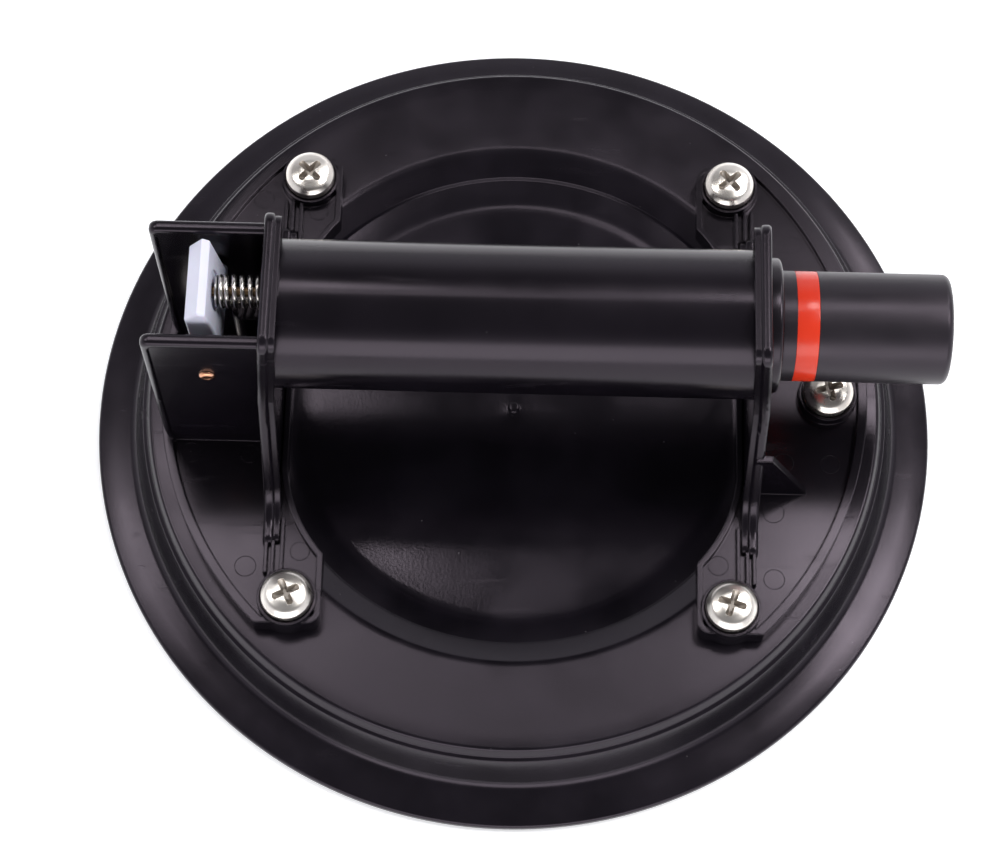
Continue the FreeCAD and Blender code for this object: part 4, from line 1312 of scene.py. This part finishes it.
@dataclass
class Studio:
    """A pale floor, soft lamps and the camera."""

    focal_length: float = 99.23
    sensor_width: float = 36.0
    nearest: float = 0.01
    place: Spot = (0.000971, -0.252618, 0.630403)
    right: Spot = (0.99966774, 0.02552166, 0.00361428)
    up: Spot = (-0.02502784, 0.92750703, 0.37296691)
    back: Spot = (0.00616646, -0.37293344, 0.92783761)
    lit_point: Spot = (0.0, 0.0, 0.03)
    lamps: tuple[Softbox, ...] = (
        Softbox("key_front", (-0.07, 0.27, 1.40), (0.30, 0.12), 0.28),
        Softbox("key_left", (-0.28, 0.47, 1.40), (0.36, 0.28), 1.9),
        Softbox("key_right", (0.35, 0.48, 1.40), (0.26, 0.34), 3.2),
        Softbox("left_softbox", (-0.69, 0.15, 1.04), (0.32, 0.42), 2.8),
        Softbox("right_softbox", (0.66, 0.09, 1.06), (0.36, 0.42), 5.6),
        Softbox("back_right_softbox", (0.64, 0.69, 0.83), (0.24, 0.24), 1.9),
        Softbox("front_fill", (0.0, -1.25, 0.38), (1.7, 0.6), 7.5),
    )
    floor_half: float = 4.0
    floor_colour: Colour = (0.86, 0.86, 0.88)
    floor_rough: float = 0.7
    floor_specular: float = 0.2
    floor_glow: float = 0.45
    sky_colour: Colour = (0.94, 0.95, 1.0)
    sky_band: Point = (0.30, 0.75)
    sky_strengths: Point = (0.85, 0.16)

    def build(self) -> None:
        """Set the floor, the world, the lamps and the camera."""
        self._floor()
        self._world()
        for softbox in self.lamps:
            softbox.light(self.lit_point)
        self._camera()

    @staticmethod
    def _seen(wiring: Wiring, strength: float) -> Socket:
        """A strength for the rays that look at a surface: camera, mirrored and clear ones.

        Args:
            wiring: the material's wiring.
            strength: the value for those rays.

        Returns:
            The socket, 0 for every other ray.
        """
        rays = wiring.node("ShaderNodeLightPath").outputs
        mirrored = wiring.math("MAXIMUM", rays["Is Glossy Ray"], rays["Is Transmission Ray"])
        either = wiring.math("MAXIMUM", rays["Is Camera Ray"], mirrored)
        return wiring.math("MULTIPLY", either, strength)

    def _floor(self) -> None:
        """The floor: pale to every ray, a little brighter where it is looked at, and clear from below."""
        mesh = bmesh.new()
        bmesh.ops.create_grid(mesh, x_segments=1, y_segments=1, size=self.floor_half)
        floor = Shaping.piece("studio_floor", mesh)
        material = bpy.data.materials.new("studio floor")
        material.use_nodes = True
        wiring = Wiring(material.node_tree)
        shader = material.node_tree.nodes["Principled BSDF"]
        shader.inputs["Base Color"].default_value = (*self.floor_colour, 1.0)
        shader.inputs["Roughness"].default_value = self.floor_rough
        shader.inputs["Specular IOR Level"].default_value = self.floor_specular
        glow = wiring.node("ShaderNodeEmission", {"Color": (1.0, 1.0, 1.0, 1.0),
                                                  "Strength": self._seen(wiring, self.floor_glow)})
        both = wiring.node("ShaderNodeAddShader", {0: shader.outputs[0], 1: glow.outputs[0]})
        below = wiring.node("ShaderNodeNewGeometry").outputs["Backfacing"]
        clear = wiring.node("ShaderNodeBsdfTransparent")
        sides = wiring.node("ShaderNodeMixShader", {"Fac": below, 1: both.outputs[0], 2: clear.outputs[0]})
        wiring.feed(material.node_tree.nodes["Material Output"].inputs["Surface"], sides.outputs[0])
        floor.data.materials.append(material)

    def _world(self) -> None:
        """A surround that is pale near the horizon and dim overhead."""
        world = bpy.data.worlds.new("studio")
        bpy.context.scene.world = world
        world.use_nodes = True
        wiring = Wiring(world.node_tree)
        shade = world.node_tree.nodes["Background"]
        shade.inputs["Color"].default_value = (*self.sky_colour, 1.0)
        place = wiring.node("ShaderNodeTexCoord").outputs["Generated"]
        upward = wiring.node("ShaderNodeSeparateXYZ", {"Vector": place}).outputs["Z"]
        fade = wiring.node("ShaderNodeMapRange", {
            "Value": upward, "From Min": self.sky_band[0], "From Max": self.sky_band[1],
            "To Min": self.sky_strengths[0], "To Max": self.sky_strengths[1]},
            interpolation_type="SMOOTHSTEP")
        wiring.feed(shade.inputs["Strength"], fade.outputs["Result"])

    def _camera(self) -> None:
        """The camera, high in front of the grip."""
        lens = bpy.data.cameras.new("camera")
        lens.lens = self.focal_length
        lens.sensor_width = self.sensor_width
        lens.clip_start = self.nearest
        camera = bpy.data.objects.new("camera", lens)
        turn = Matrix((self.right, self.up, self.back)).transposed().to_4x4()
        camera.matrix_world = Matrix.Translation(self.place) @ turn
        bpy.context.scene.collection.objects.link(camera)
        bpy.context.scene.camera = camera


def main() -> None:
    """Build every sub-assembly, then the studio, and set the view transform to Standard."""
    bench = Bench()
    SuctionPad(bench).build()
    GripFrame(bench).build()
    ScrewSet(bench).build()
    Pump(bench).build()
    ReleaseValve(bench).build()
    CoilSpring(bench, "valve_coil", "valve_spring", joint="lever_swing", wire=0.0011, turns=5.6,
               closed_start=1.1, closed_end=0.5, fixed_high=True, travel=0.0017).build()
    CoilSpring(bench, "return_coil", "return_spring", joint="plunger_stroke", wire=0.0012, turns=11.0,
               closed_start=1.0, closed_end=1.0, fixed_high=False, travel=0.0300).build()
    Studio().build()
    bpy.context.scene.view_settings.view_transform = "Standard"


if __name__ == "__main__":
    main()
